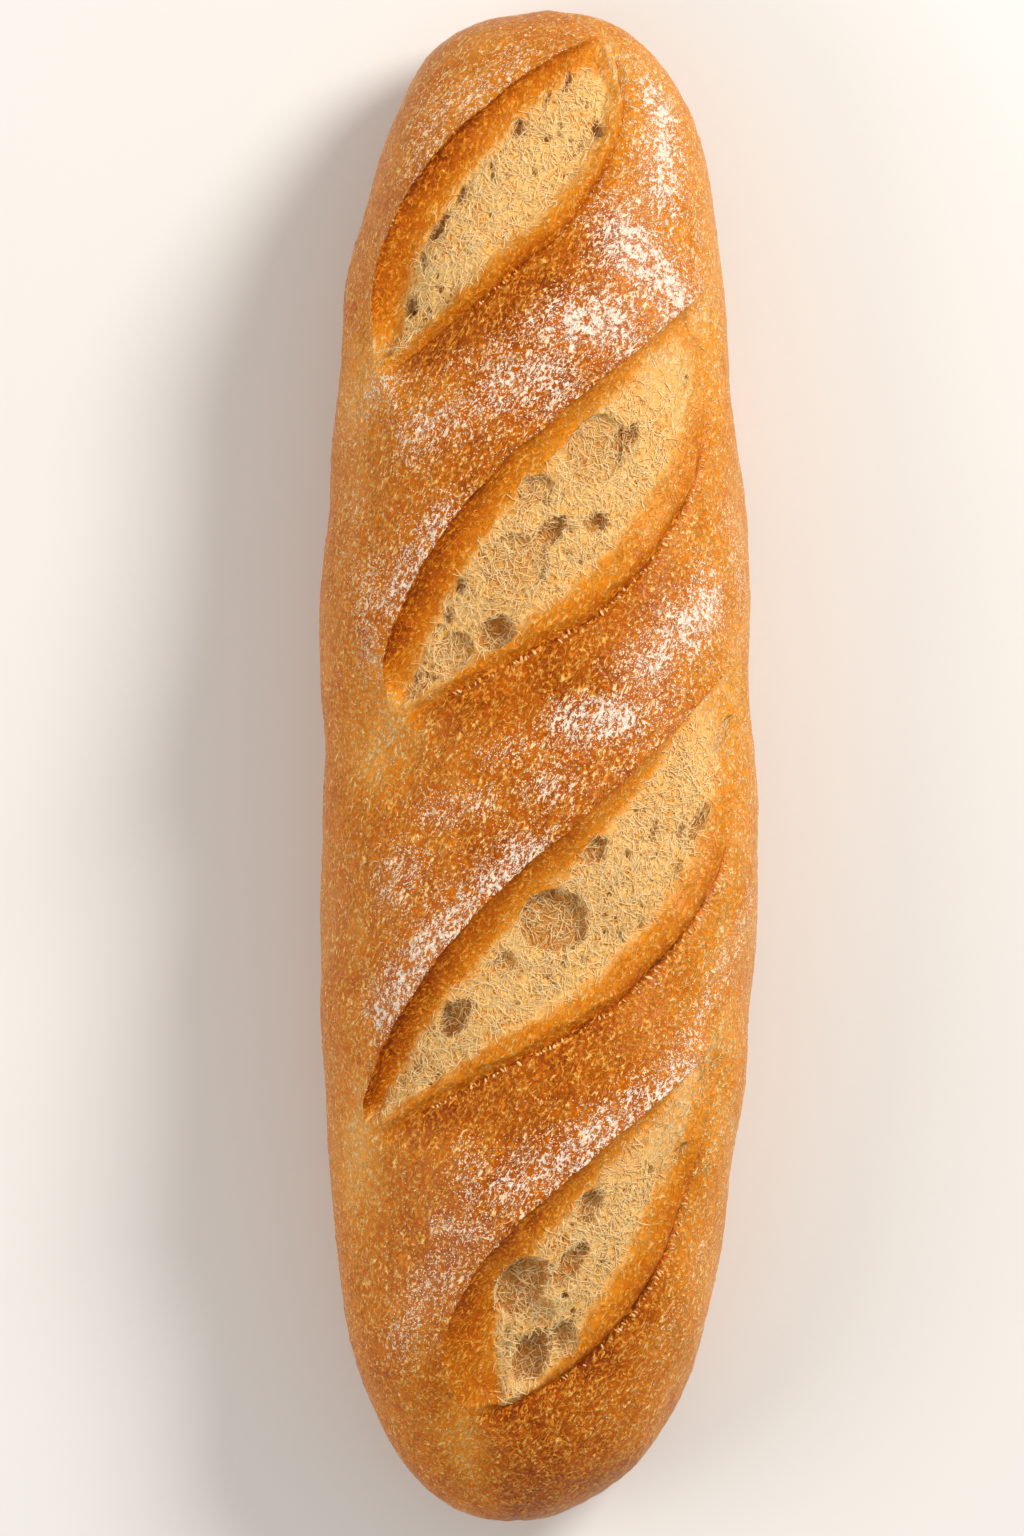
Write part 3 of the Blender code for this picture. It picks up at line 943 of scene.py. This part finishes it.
def noise(tree, at, size, detail=0.0, warp=0.0):
    """Noise around 0, mostly between -1 and 1, in patches of about this size."""
    value = made(tree, "ShaderNodeTexNoise", Vector=at, Scale=1 / size, Detail=detail, Distortion=warp)
    return value * 4.0 - 2.0


def cells(tree, at, size):
    """Distance from the nearest cell's middle, in cell sizes, and a random value for the cell."""
    node = add_node(tree, "ShaderNodeTexVoronoi", {"feature": "F1"}, Vector=at, Scale=1 / size)
    chance = split(tree, Wire(tree, node.outputs["Color"]))[0]
    return Wire(tree, node.outputs["Distance"]), chance


def new_tree(name, sizes=(), collections=()):
    """An empty geometry tree with named inputs, and its inputs as wires."""
    tree = bpy.data.node_groups.new(name, "GeometryNodeTree")
    tree.interface.new_socket(name="Geometry", in_out="INPUT", socket_type="NodeSocketGeometry")
    for size in sizes:
        tree.interface.new_socket(name=size, in_out="INPUT", socket_type="NodeSocketFloat")
    for collection in collections:
        tree.interface.new_socket(name=collection, in_out="INPUT", socket_type="NodeSocketCollection")
    tree.interface.new_socket(name="Finish", in_out="INPUT", socket_type="NodeSocketMaterial")
    tree.interface.new_socket(name="Geometry", in_out="OUTPUT", socket_type="NodeSocketGeometry")
    entry = tree.nodes.new("NodeGroupInput")
    return tree, {output.name: Wire(tree, output) for output in entry.outputs if output.name}


def end_tree(tree, geometry, finish):
    """Ends a tree: instances made real, and the finish set."""
    real = made(tree, "GeometryNodeRealizeInstances", Geometry=geometry)
    done = made(tree, "GeometryNodeSetMaterial", Geometry=real, Material=finish)
    leave = tree.nodes.new("NodeGroupOutput")
    tree.links.new(done.socket, leave.inputs[0])
    return tree


def grow(piece, tree, given):
    """Runs a tree on a piece with the given inputs, and keeps the result as its plain mesh."""
    modifier = piece.modifiers.new(tree.name, "NODES")
    modifier.node_group = tree
    for item in tree.interface.items_tree:
        if item.in_out == "INPUT" and item.name in given:
            modifier[item.identifier] = given[item.name]
    graph = bpy.context.evaluated_depsgraph_get()
    graph.update()
    shape = piece.evaluated_get(graph)
    plain = bpy.data.meshes.new_from_object(shape, preserve_all_data_layers=True, depsgraph=graph)
    piece.modifiers.remove(modifier)
    piece.data = plain
    plain.name = piece.name
    return piece


SKIN_SIZES = {
    "Length": LENGTH,
    "Half Width": HALF_WIDTH,
    "Crown Rise": CROWN_RISE,
    "Belly Drop": BELLY_DROP,
    "Waist Height": WAIST_HEIGHT,
    "Nose Height": NOSE_HEIGHT,
    "Widest At": WIDEST_AT,
    "Head Fullness": HEAD_OUTLINE[0],
    "Head Roundness": HEAD_OUTLINE[1],
    "Tail Fullness": TAIL_OUTLINE[0],
    "Tail Roundness": TAIL_OUTLINE[1],
    "Tail Drift": TAIL_DRIFT,
    "Drift Starts At": DRIFT_STARTS_AT,
    "Crown Power": CROWN_POWER,
    "Belly Power": BELLY_POWER,
}
GRAIN_SIZES = {
    "Pebble Height": 0.13 * MM,
    "Blister Height": 0.16 * MM,
    "Band Grain": 0.06 * MM,
    "Crumb Foam": 0.32 * MM,
    "Underside Pits": 0.12 * MM,
}


def smooth_skin_tree():
    """The rule of the loaf's smooth skin: a station along X and a turn give a point."""
    tree = bpy.data.node_groups.new("Smooth Loaf Skin", "GeometryNodeTree")
    for name in ("X", "Turn", *SKIN_SIZES):
        tree.interface.new_socket(name=name, in_out="INPUT", socket_type="NodeSocketFloat")
    tree.interface.new_socket(name="Point", in_out="OUTPUT", socket_type="NodeSocketVector")
    entry = tree.nodes.new("NodeGroupInput")
    size = {output.name: Wire(tree, output) for output in entry.outputs if output.name}
    x, turn, widest = size["X"], size["Turn"], size["Widest At"]
    half = size["Length"] / 2.0
    ahead = ((x - widest) / (half - widest)).clipped()
    behind = ((widest - x) / (half + widest)).clipped()
    head = (1.0 - ahead ** size["Head Fullness"]).above(0.0) ** (1.0 / size["Head Roundness"])
    tail = (1.0 - behind ** size["Tail Fullness"]).above(0.0) ** (1.0 / size["Tail Roundness"])
    share = head * tail
    sunk = (x.of("ABSOLUTE") / half) ** WAIST_POWER
    waist = size["Waist Height"] + (size["Nose Height"] - size["Waist Height"]) * sunk
    drift_run = (size["Drift Starts At"] - x).above(0.0) / (half + size["Drift Starts At"])
    drift = size["Tail Drift"] * drift_run ** DRIFT_POWER
    sine, cosine = turn.of("SINE"), turn.of("COSINE")
    rising = cosine.math("GREATER_THAN", cosine, 0.0)
    bend = 2.0 / (rising * size["Crown Power"] + (1.0 - rising) * size["Belly Power"])
    height = rising * size["Crown Rise"] + (1.0 - rising) * size["Belly Drop"]
    y = drift + size["Half Width"] * share * sine.signed_power(bend)
    z = waist + height * share * cosine.signed_power(bend)
    leave = tree.nodes.new("NodeGroupOutput")
    tree.links.new(made(tree, "ShaderNodeCombineXYZ", X=x, Y=y, Z=z).socket, leave.inputs[0])
    return tree


def slow_relief(tree, point, turn):
    """The loaf's swells and the bulges of its flanks, both gone at the flat underside."""
    x, _, z = split(tree, point)
    relief = 0.0
    for height, along, across, up, phase in SWELLS:
        waves = tuple(2 * math.pi / (length * MM) for length in (along, across, up))
        angle = vector_math(tree, "DOT_PRODUCT", point, waves, "Value") + phase
        relief = angle.of("SINE") * (height * MM) + relief
    for side, height, at, run in FLANK_BULGES:
        sideways = (turn.of("SINE") * float(side)).clipped() ** 2.0
        far = ((x - at * MM) / (run * MM)) ** 2.0
        relief = relief + sideways * (far * -1.0).of("EXPONENT") * (height * MM)
    return relief * (z / SWELL_FADE_HEIGHT).eased()


def named(tree, name):
    """A share that is stored on the sheet."""
    node = add_node(tree, "GeometryNodeInputNamedAttribute", {"data_type": "FLOAT"}, Name=name)
    return Wire(tree, node.outputs["Attribute"])


def grain_relief(tree, point, given):
    """Pebbled crust, finer grain on the scores' bands, and foam in the crumb."""
    crumb, crust = named(tree, "crumb"), named(tree, "crust")
    pebbles = noise(tree, point, 2.6 * MM, 1.0) * given["Pebble Height"]
    far, chance = cells(tree, point, 1.9 * MM)
    dome = (1.0 - (far / 0.36) ** 2.0).above(0.0) * (chance * 5.0 - 3.6).clipped()
    bubbled = (pebbles + dome * given["Blister Height"]) * crust
    band = noise(tree, point, 0.9 * MM) * given["Band Grain"] * (1.0 - crust)
    bubble, _ = cells(tree, point, 1.5 * MM)
    foam = (bubble - 0.5 + noise(tree, point, 0.7 * MM) * 0.45) * given["Crumb Foam"]
    foam = foam * (1.0 + named(tree, "hollow") * 0.7)
    return bubbled + (band * (1.0 - crumb)) + foam * crumb


def wrap_tree():
    """Bends a flat sheet of (x, arc, lift) round the loaf, along its skin's own normals."""
    tree, given = new_tree("Wrap On Loaf", (*SKIN_SIZES, *GRAIN_SIZES))
    rule = smooth_skin_tree()
    half = given["Length"] / 2.0
    position = made(tree, "GeometryNodeInputPosition")
    x, arc, lift = split(tree, position)
    turn = arc / given["Half Width"]

    def skin(station, angle):
        group = add_node(tree, "GeometryNodeGroup", {"node_tree": rule}, X=station, Turn=angle)
        for name in SKIN_SIZES:
            feed(tree, given[name], group.inputs[name])
        return Wire(tree, group.outputs[0])

    step, small_turn = 0.1 * MM, 0.002
    forward = x.math("MINIMUM", x + step, half)
    backward = x.math("MAXIMUM", x - step, half * -1.0)
    along = vector_math(tree, "SUBTRACT", skin(forward, turn), skin(backward, turn))
    around = vector_math(tree, "SUBTRACT", skin(x, turn + small_turn), skin(x, turn - small_turn))
    normal = vector_math(tree, "NORMALIZE", vector_math(tree, "CROSS_PRODUCT", along, around))
    point = skin(x, turn)
    relief = lift + slow_relief(tree, point, turn) + grain_relief(tree, point, given)
    raised = vector_math(tree, "ADD", point, vector_math(tree, "SCALE", normal, relief))
    new_x, new_y, new_z = split(tree, raised)
    pits = noise(tree, point, 1.8 * MM, 2.0).above(0.0) * given["Underside Pits"]
    settled = made(tree, "ShaderNodeCombineXYZ", X=new_x, Y=new_y, Z=new_z.math("MAXIMUM", new_z, pits))
    moved = made(tree, "GeometryNodeSetPosition", Geometry=given["Geometry"], Position=settled)
    return end_tree(tree, moved, given["Finish"])


def close_ends(piece, columns):
    """Puts the middle point of each end's fan in the middle of its ring."""
    count = len(piece.data.vertices)
    places = np.empty(count * 3, np.float32)
    piece.data.vertices.foreach_get("co", places)
    places = places.reshape(-1, 3)
    places[-2] = places[:columns].mean(axis=0)
    places[-1] = places[-2 - columns:-2].mean(axis=0)
    piece.data.vertices.foreach_set("co", places.ravel())


# What is strewn on the bread, or set along its creases

DUST_SIZES = {
    "Grains Per Area": 7.0 / MM ** 2,
    "Least Flour": 0.30,
    "Grain Size": 0.15 * MM,
    "Clump Size": 1.7 * MM,
}
STRAND_SIZES = {
    "Strands Per Area": 1.6 / MM ** 2,
    "Strand Length": 2.6 * MM,
    "Strand Thickness": 0.16 * MM,
    "Waver": 1.0 * MM,
    "Waver Size": 1.0 * MM,
}
BLISTER_SIZES = {
    "Blister Spacing": 0.72 * MM,
    "Blister Size": 0.50 * MM,
    "Stray": 0.32 * MM,
}

# Scores with a row of blisters past the crease: number, first and last share of the length
BLISTERED = ((0, 0.30, 0.42), (1, 0.12, 0.74), (2, 0.14, 0.76), (3, 0.20, 0.70))
BLISTERS_PAST_CREASE = 0.75
BLISTER_PATH_POINTS = 160


def random_value(tree, low, high, seed, kind="FLOAT"):
    """A random number, or a random vector, for each point."""
    node = add_node(tree, "FunctionNodeRandomValue", {"data_type": kind})
    slots = (0, 1) if kind == "FLOAT_VECTOR" else (2, 3)
    feed(tree, low, node.inputs[slots[0]])
    feed(tree, high, node.inputs[slots[1]])
    node.inputs["Seed"].default_value = seed
    return Wire(tree, node.outputs[0 if kind == "FLOAT_VECTOR" else 1])


def bread_in(tree, given):
    """The sheets of bread that the piece is strewn on."""
    sheets = made(tree, "GeometryNodeCollectionInfo", Collection=given["Bread"])
    return made(tree, "GeometryNodeRealizeInstances", Geometry=sheets)


def spun(tree, facing, least, most, seed):
    """A rotation turned about its own Z by a random angle in radians, for each point."""
    turn = made(tree, "ShaderNodeCombineXYZ", Z=random_value(tree, least, most, seed))
    spin = add_node(tree, "FunctionNodeRotateRotation", {"rotation_space": "LOCAL"})
    tree.links.new(facing, spin.inputs[0])
    tree.links.new(turn.socket, spin.inputs[1])
    return Wire(tree, spin.outputs[0])


def strewn_points(tree, ground, density, seed):
    """Random points on the bread, and a random spin about its normal for each."""
    strew = add_node(tree, "GeometryNodeDistributePointsOnFaces", Mesh=ground, Density=density, Seed=seed)
    spin = spun(tree, strew.outputs["Rotation"], 0.0, 2 * math.pi, seed + 1)
    return Wire(tree, strew.outputs["Points"]), spin


def dust_tree():
    """Grains of flour, densest where it lies thickest."""
    tree, given = new_tree("Flour Dust", DUST_SIZES, ("Bread",))
    place = made(tree, "GeometryNodeInputPosition")
    clumps = noise(tree, place, given["Clump Size"], 2.0) * 0.5 + 1.0
    thick = (named(tree, "flour") * clumps - given["Least Flour"]).above(0.0)
    density = thick * named(tree, "shown") * given["Grains Per Area"]
    points, rotation = strewn_points(tree, bread_in(tree, given), density, seed=11)
    grain = made(tree, "GeometryNodeMeshUVSphere", Segments=4, Rings=2, Radius=given["Grain Size"])
    size = random_value(tree, (0.6, 0.5, 0.35), (1.7, 1.1, 0.6), 13, "FLOAT_VECTOR")
    grains = made(
        tree, "GeometryNodeInstanceOnPoints", Points=points, Instance=grain, Rotation=rotation, Scale=size
    )
    return end_tree(tree, grains, given["Finish"])


def strand_tree():
    """Torn strands of crumb: thin bowed threads that waver over the crumb and its pores."""
    tree, given = new_tree("Torn Crumb", STRAND_SIZES, ("Bread",))
    open_pores = 1.0 - named(tree, "hollow") * 0.25
    density = named(tree, "crumb") ** 2.0 * named(tree, "shown") * open_pores * given["Strands Per Area"]
    points, rotation = strewn_points(tree, bread_in(tree, given), density, seed=21)
    bow = made(
        tree, "GeometryNodeCurveQuadraticBezier",
        Resolution=4, Start=(-0.5, 0.0, -0.02), Middle=(0.0, 0.16, 0.22), End=(0.5, 0.0, -0.02),
    )
    length = random_value(tree, 0.5, 1.4, 23) * given["Strand Length"]
    threads = made(
        tree, "GeometryNodeInstanceOnPoints", Points=points, Instance=bow, Rotation=rotation, Scale=length
    )
    threads = made(tree, "GeometryNodeRealizeInstances", Geometry=threads)
    place = made(tree, "GeometryNodeInputPosition")
    fineness = 1.0 / given["Waver Size"]
    cloud = made(tree, "ShaderNodeTexNoise", output="Color", Vector=place, Scale=fineness, Detail=1.0)
    waver = vector_math(tree, "SUBTRACT", cloud, (0.5, 0.5, 0.5))
    waver = vector_math(tree, "SCALE", waver, given["Waver"])
    wavered = made(tree, "GeometryNodeSetPosition", Geometry=threads, Offset=waver)
    factor = made(tree, "GeometryNodeSplineParameter")
    taper_off = (factor * math.pi).of("SINE").above(0.0) ** 0.6 * 0.85 + 0.15
    tapered = made(tree, "GeometryNodeSetCurveRadius", Curve=wavered, Radius=taper_off)
    round_end = add_node(
        tree, "GeometryNodeCurvePrimitiveCircle", Resolution=3, Radius=given["Strand Thickness"] / 2.0
    )
    tubes = made(
        tree, "GeometryNodeCurveToMesh",
        Curve=tapered, Profile_Curve=Wire(tree, round_end.outputs[0]), Fill_Caps=True,
    )
    return end_tree(tree, tubes, given["Finish"])


def blister_tree():
    """A row of small blisters along a path, each a short ridge."""
    tree, given = new_tree("Crease Blisters", BLISTER_SIZES)
    path = made(tree, "GeometryNodeMeshToCurve", Mesh=given["Geometry"])
    row = made(
        tree, "GeometryNodeResampleCurve", {"mode": "LENGTH"}, Curve=path, Length=given["Blister Spacing"]
    )
    line = add_node(tree, "GeometryNodeCurveToPoints", {"mode": "EVALUATED"}, Curve=row)
    stray = random_value(tree, (-1.0, -1.0, -0.7), (1.0, 1.0, 0.3), 31, "FLOAT_VECTOR")
    stray = vector_math(tree, "SCALE", stray, given["Stray"])
    points = Wire(tree, line.outputs["Points"])
    points = made(tree, "GeometryNodeSetPosition", Geometry=points, Offset=stray)
    bead = made(tree, "GeometryNodeMeshIcoSphere", Radius=given["Blister Size"], Subdivisions=2)
    shape = random_value(tree, (0.35, 0.9, 0.35), (0.70, 1.7, 0.6), 33, "FLOAT_VECTOR")
    size = random_value(tree, -0.12, 1.0, 35).above(0.0) ** 0.7 + 0.05
    size = vector_math(tree, "SCALE", shape, size)
    along = add_node(tree, "FunctionNodeAlignRotationToVector", {"axis": "X"})
    tree.links.new(line.outputs["Tangent"], along.inputs["Vector"])
    rotation = spun(tree, along.outputs[0], -0.6, 0.6, 37)
    beads = made(
        tree, "GeometryNodeInstanceOnPoints", Points=points, Instance=bead, Rotation=rotation, Scale=size
    )
    return end_tree(tree, beads, given["Finish"])


def blister_paths():
    """Flat lines just past the creases, for the rows of blisters."""
    places, edges = [], []
    for number, first, last in BLISTERED:
        opened = OPENED[number]
        run = opened.length * np.linspace(first, last, BLISTER_PATH_POINTS)
        _, crease = opened.edges(run)
        x, arc = opened.spread(run, -crease - BLISTERS_PAST_CREASE)
        lift = bread(x, arc, fine=False)["lift"]
        start = len(places)
        edges.extend((start + step, start + step + 1) for step in range(BLISTER_PATH_POINTS - 1))
        places.extend(zip(x * MM, arc * MM, lift * MM))
    data = bpy.data.meshes.new("crease_blisters")
    data.from_pydata(places, edges, [])
    return linked("crease_blisters", data)


def map_from_above(piece):
    """Gives a strewn piece a plain map, seen from above."""
    data = piece.data
    data.shade_smooth()
    places = np.empty(len(data.vertices) * 3, np.float32)
    data.vertices.foreach_get("co", places)
    places = places.reshape(-1, 3)
    corners = np.empty(len(data.loops), np.int32)
    data.loops.foreach_get("vertex_index", corners)
    u = (places[corners, 0] - LOAF_LOW.x) / LOAF_SIZE.x
    v = (places[corners, 1] - LOAF_LOW.y) / LOAF_SIZE.y
    layer = data.uv_layers.new(name="OFBake")
    layer.data.foreach_set("uv", np.stack([u, v], axis=-1).astype(np.float32).ravel())


# Finishes

def tint(red, green, blue):
    """An sRGB tone as the linear colour that a shader takes."""
    def straight(value):
        value /= 255
        return value / 12.92 if value <= 0.04045 else ((value + 0.055) / 1.055) ** 2.4
    return (straight(red), straight(green), straight(blue), 1.0)


def ramp(tree, value, tones):
    """Tones by a value from 0 to 1."""
    node = add_node(tree, "ShaderNodeValToRGB", Fac=value)
    stops = node.color_ramp.elements
    while len(stops) < len(tones):
        stops.new(0.5)
    for stop, (at, tone) in zip(stops, tones):
        stop.position = at
        stop.color = tint(*tone)
    return Wire(tree, node.outputs["Color"])


def blend(tree, share, first, second):
    """Two colours mixed by a share of the second."""
    node = add_node(tree, "ShaderNodeMix", {"data_type": "RGBA"})
    feed(tree, share, node.inputs[0])
    feed(tree, first, node.inputs[6])
    feed(tree, second, node.inputs[7])
    return Wire(tree, node.outputs[2])


def new_finish(name):
    """A material with only its shader, and the object's own coordinates."""
    finish = bpy.data.materials.new(name)
    finish.use_nodes = True
    tree = finish.node_tree
    place = made(tree, "ShaderNodeTexCoord", output="Object")
    return finish, tree, tree.nodes["Principled BSDF"], place


def share_of(tree, name):
    """A share stored on the piece."""
    return made(tree, "ShaderNodeAttribute", {"attribute_name": name}, output="Fac")


def drawn_out(tree, place, stretch):
    """Coordinates in which a pattern is drawn out along the way the scores run."""
    node = add_node(tree, "ShaderNodeMapping", {"vector_type": "TEXTURE"}, Vector=place)
    node.inputs["Rotation"].default_value = (0, 0, GRAIN_TURN)
    node.inputs["Scale"].default_value = (stretch, 1, 1)
    return Wire(tree, node.outputs[0])


def web(tree, at, size, fine):
    """Thin bright threads, like torn gluten: 1 on a thread and 0 away from it."""
    threads = noise(tree, at, size, 1.0, warp=1.6)
    return (1.0 - threads.of("ABSOLUTE") * fine).clipped()


def bread_finish():
    """Baked bread: toasted crust with painted light and shade, crumb with painted shade in its hollows, and
    a stipple of flour that also paints highlights.
    """
    finish, tree, shader, place = new_finish("baked_bread")
    toast, crumb, hollow, flour = (share_of(tree, name) for name in ("toast", "crumb", "hollow", "flour"))
    along_grain = drawn_out(tree, place, 2.5)

    crust = share_of(tree, "crust")
    patches = noise(tree, place, 9 * MM, 2.0) * 0.08 + noise(tree, place, 2.4 * MM, 2.0) * 0.06
    curls = web(tree, along_grain, 1.15 * MM, 3.4)
    dashes = (curls + noise(tree, place, 0.75 * MM) * 0.4).above(0.0)
    # The crust is paler on its raised dashes: painted highlights and flour specks
    specks_and_glints = (noise(tree, place, 0.32 * MM) * 0.06 + 0.11 - dashes * 0.56) * (crust * 0.3 + 0.7)
    crust_colour = ramp(tree, toast + patches + specks_and_glints, TOAST_TONES)

    threads = web(tree, place, 1.0 * MM, 2.2) * 0.34 + web(tree, place, 0.55 * MM, 2.0) * 0.22
    bubble, _ = cells(tree, place, 1.3 * MM)
    # Small dents in the crumb, darker with painted shade
    gaps = ((noise(tree, place, 0.75 * MM, 1.0) + noise(tree, place, 5 * MM) * 0.3 - 0.28) / 0.25).eased()
    # Deep pores get a darker, warmer tone: painted shade
    deep = (hollow * 1.3 - 0.25).clipped()
    pith = threads * (1.0 + deep) + bubble * 0.35 + noise(tree, place, 3.2 * MM, 2.0) * 0.14 + 0.25
    pith = pith - gaps * 0.30 - deep * 0.20
    crumb_colour = ramp(tree, pith, CRUMB_TONES)
    crumb_colour = blend(tree, deep * 0.55, crumb_colour, tint(*PAINTED_PORE_SHADE_TONE))
    colour = blend(tree, crumb, crust_colour, crumb_colour)

    clumps = noise(tree, place, 1.7 * MM, 2.0) * 0.35
    level = flour + clumps * flour
    # Flour film, which where the flour is thin paints highlights on the raised dashes
    flour_and_glint_film = ((dashes - 1.15 + level * 1.24) / 0.26).eased() * (0.62 + level * 0.38).clipped()
    flour_and_glint_tone = blend(tree, (level * 1.6 - 0.35).clipped(), tint(*THIN_FLOUR_AND_GLINT_TONE), tint(*FLOUR_TONE))
    colour = blend(tree, flour_and_glint_film * (1.0 - crumb), colour, flour_and_glint_tone)
    tree.links.new(colour.socket, shader.inputs["Base Color"])

    rough = 0.32 + noise(tree, place, 1.6 * MM, 2.0) * 0.08 + crumb * 0.42 + flour_and_glint_film * 0.42
    tree.links.new(rough.clipped().socket, shader.inputs["Roughness"])

    skin_grain = dashes * 0.18 + noise(tree, place, 0.9 * MM, 2.0) * 0.05
    crumb_grain = threads * (0.26 + deep * 0.5) - gaps * 0.16 + noise(tree, place, 0.35 * MM, 1.0) * 0.03
    height = (skin_grain * (1.0 - crumb) + crumb_grain * crumb + flour_and_glint_film * 0.06) * MM
    bump = made(tree, "ShaderNodeBump", Height=height, Distance=1.0, Strength=1.0)
    tree.links.new(bump.socket, shader.inputs["Normal"])
    shader.inputs["Specular IOR Level"].default_value = CRUST_GLOSS
    return finish


def flour_finish():
    """White flour, matte and faintly cream."""
    finish, tree, shader, place = new_finish("flour_grains")
    tone = noise(tree, place, 0.8 * MM, 1.0) * 0.4 + 0.5
    colour = ramp(tree, tone, FLOUR_GRAIN_TONES)
    tree.links.new(colour.socket, shader.inputs["Base Color"])
    shader.inputs["Roughness"].default_value = 0.9
    shader.inputs["Specular IOR Level"].default_value = FLOUR_GLOSS
    return finish


def strand_finish():
    """Thin strands of crumb: pale cream, a little glossy where they were stretched."""
    finish, tree, shader, place = new_finish("torn_strands")
    tone = noise(tree, place, 2.2 * MM, 2.0) * 0.35 + 0.5
    colour = ramp(tree, tone, STRAND_TONES)
    tree.links.new(colour.socket, shader.inputs["Base Color"])
    rough = noise(tree, place, 0.9 * MM) * 0.08 + 0.55
    tree.links.new(rough.socket, shader.inputs["Roughness"])
    shader.inputs["Specular IOR Level"].default_value = STRAND_GLOSS
    return finish


def blister_finish():
    """Blistered skin: thin, golden and glossy."""
    finish, tree, shader, place = new_finish("blistered_skin")
    tone = noise(tree, place, 1.3 * MM, 2.0) * 0.25 + 0.20
    colour = ramp(tree, tone, TOAST_TONES)
    tree.links.new(colour.socket, shader.inputs["Base Color"])
    rough = noise(tree, place, 0.7 * MM) * 0.08 + 0.36
    tree.links.new(rough.socket, shader.inputs["Roughness"])
    shader.inputs["Specular IOR Level"].default_value = BLISTER_GLOSS
    return finish


# Floor, light and camera, as in the photo: straight down, the head end up

# The photo is 1536 pixels high, and the loaf fills 1511 of them
PIXEL = LENGTH / 1511
FRAME_HEIGHT = 1536 * PIXEL
CAMERA_HEIGHT = 5000 * MM
CAMERA_AT = (-0.37 * MM, 5.0 * MM)
SENSOR = 36

# Lamps: place, width in metres, and watts. The key is at the photo's upper right, a weaker one
# at its left.
LAMPS = (
    ("key", (0.60, -0.75, 0.80), 0.45, 13.6),
    ("fill", (-0.25, 0.85, 0.60), 0.70, 4.2),
)
LAMP_COLOUR = (1.0, 0.97, 0.92)
SKY_COLOUR = (1.0, 0.985, 0.96, 1.0)
SKY_STRENGTH = 0.47
FLOOR_SIZE = 4.0
FLOOR_DROP = 0.0002


def studio():
    """A pale floor, two soft lamps, and pale light all round."""
    bpy.ops.mesh.primitive_plane_add(size=FLOOR_SIZE, location=(0, 0, -FLOOR_DROP))
    floor = bpy.context.object
    floor.name = "floor"
    finish, tree, shader, place = new_finish("pale_floor")
    cloud = noise(tree, place, 0.4, 2.0) * 0.1 + 0.5
    colour = ramp(tree, cloud, FLOOR_TONES)
    tree.links.new(colour.socket, shader.inputs["Base Color"])
    shader.inputs["Roughness"].default_value = 0.8
    floor.data.materials.append(finish)

    world = bpy.data.worlds.new("soft_studio")
    world.use_nodes = True
    sky = world.node_tree.nodes["Background"]
    sky.inputs["Color"].default_value = SKY_COLOUR
    sky.inputs["Strength"].default_value = SKY_STRENGTH
    bpy.context.scene.world = world

    for name, place, size, energy in LAMPS:
        lamp = bpy.data.lights.new(name, "AREA")
        lamp.shape = "DISK"
        lamp.size = size
        lamp.energy = energy
        lamp.color = LAMP_COLOUR
        soft_box = linked(name, lamp)
        soft_box.location = place
        soft_box.rotation_euler = (-soft_box.location).to_track_quat("-Z", "Y").to_euler()

    view = bpy.data.cameras.new("camera")
    view.sensor_width = SENSOR
    view.lens = SENSOR * CAMERA_HEIGHT / FRAME_HEIGHT
    view.clip_end = 2 * CAMERA_HEIGHT
    camera = linked("camera", view)
    camera.location = (*CAMERA_AT, WAIST_HEIGHT + CAMERA_HEIGHT)
    camera.rotation_euler = (0, 0, -math.pi / 2)
    bpy.context.scene.camera = camera
    bpy.context.scene.view_settings.view_transform = "Standard"


def build():
    """The bread's five sheets, wrapped, and what is strewn on them, all riding the loaf's body."""
    wrap = wrap_tree()
    given = {**SKIN_SIZES, **GRAIN_SIZES, "Finish": bread_finish()}
    sheets = [crust_sheet()] + [score_sheet(number) for number in range(len(SCORES))]
    columns = [CRUST_AROUND] + [SCORE_COLUMNS + 2 * RIM_COLUMNS + BACK_COLUMNS] * len(SCORES)
    for sheet, around in zip(sheets, columns):
        grow(sheet, wrap, given)
        close_ends(sheet, around)
    blisters = grow(blister_paths(), wrap, given)
    corners = np.array([Vector(corner) for corner in sheets[0].bound_box])
    middle = (corners.min(axis=0) + corners.max(axis=0)) / 2
    centring = Matrix.Translation((LOAF_MIDDLE.x - middle[0], LOAF_MIDDLE.y - middle[1], 0))
    for piece in (*sheets, blisters):
        piece.data.transform(centring)

    gathered = bpy.data.collections.new("bread")
    for sheet in sheets:
        gathered.objects.link(sheet)
    dust = linked("flour_dust", bpy.data.meshes.new("flour_dust"))
    strands = linked("crumb_strands", bpy.data.meshes.new("crumb_strands"))
    grow(blisters, blister_tree(), {**BLISTER_SIZES, "Finish": blister_finish()})
    grow(dust, dust_tree(), {**DUST_SIZES, "Bread": gathered, "Finish": flour_finish()})
    grow(strands, strand_tree(), {**STRAND_SIZES, "Bread": gathered, "Finish": strand_finish()})
    bpy.data.collections.remove(gathered)

    for sheet in sheets:
        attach(sheet, "root")
        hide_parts("loaf")
    for piece, slot in ((blisters, "crust"), (dust, "flour"), (strands, "crumb")):
        map_from_above(piece)
        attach(piece, "root")


build()
studio()
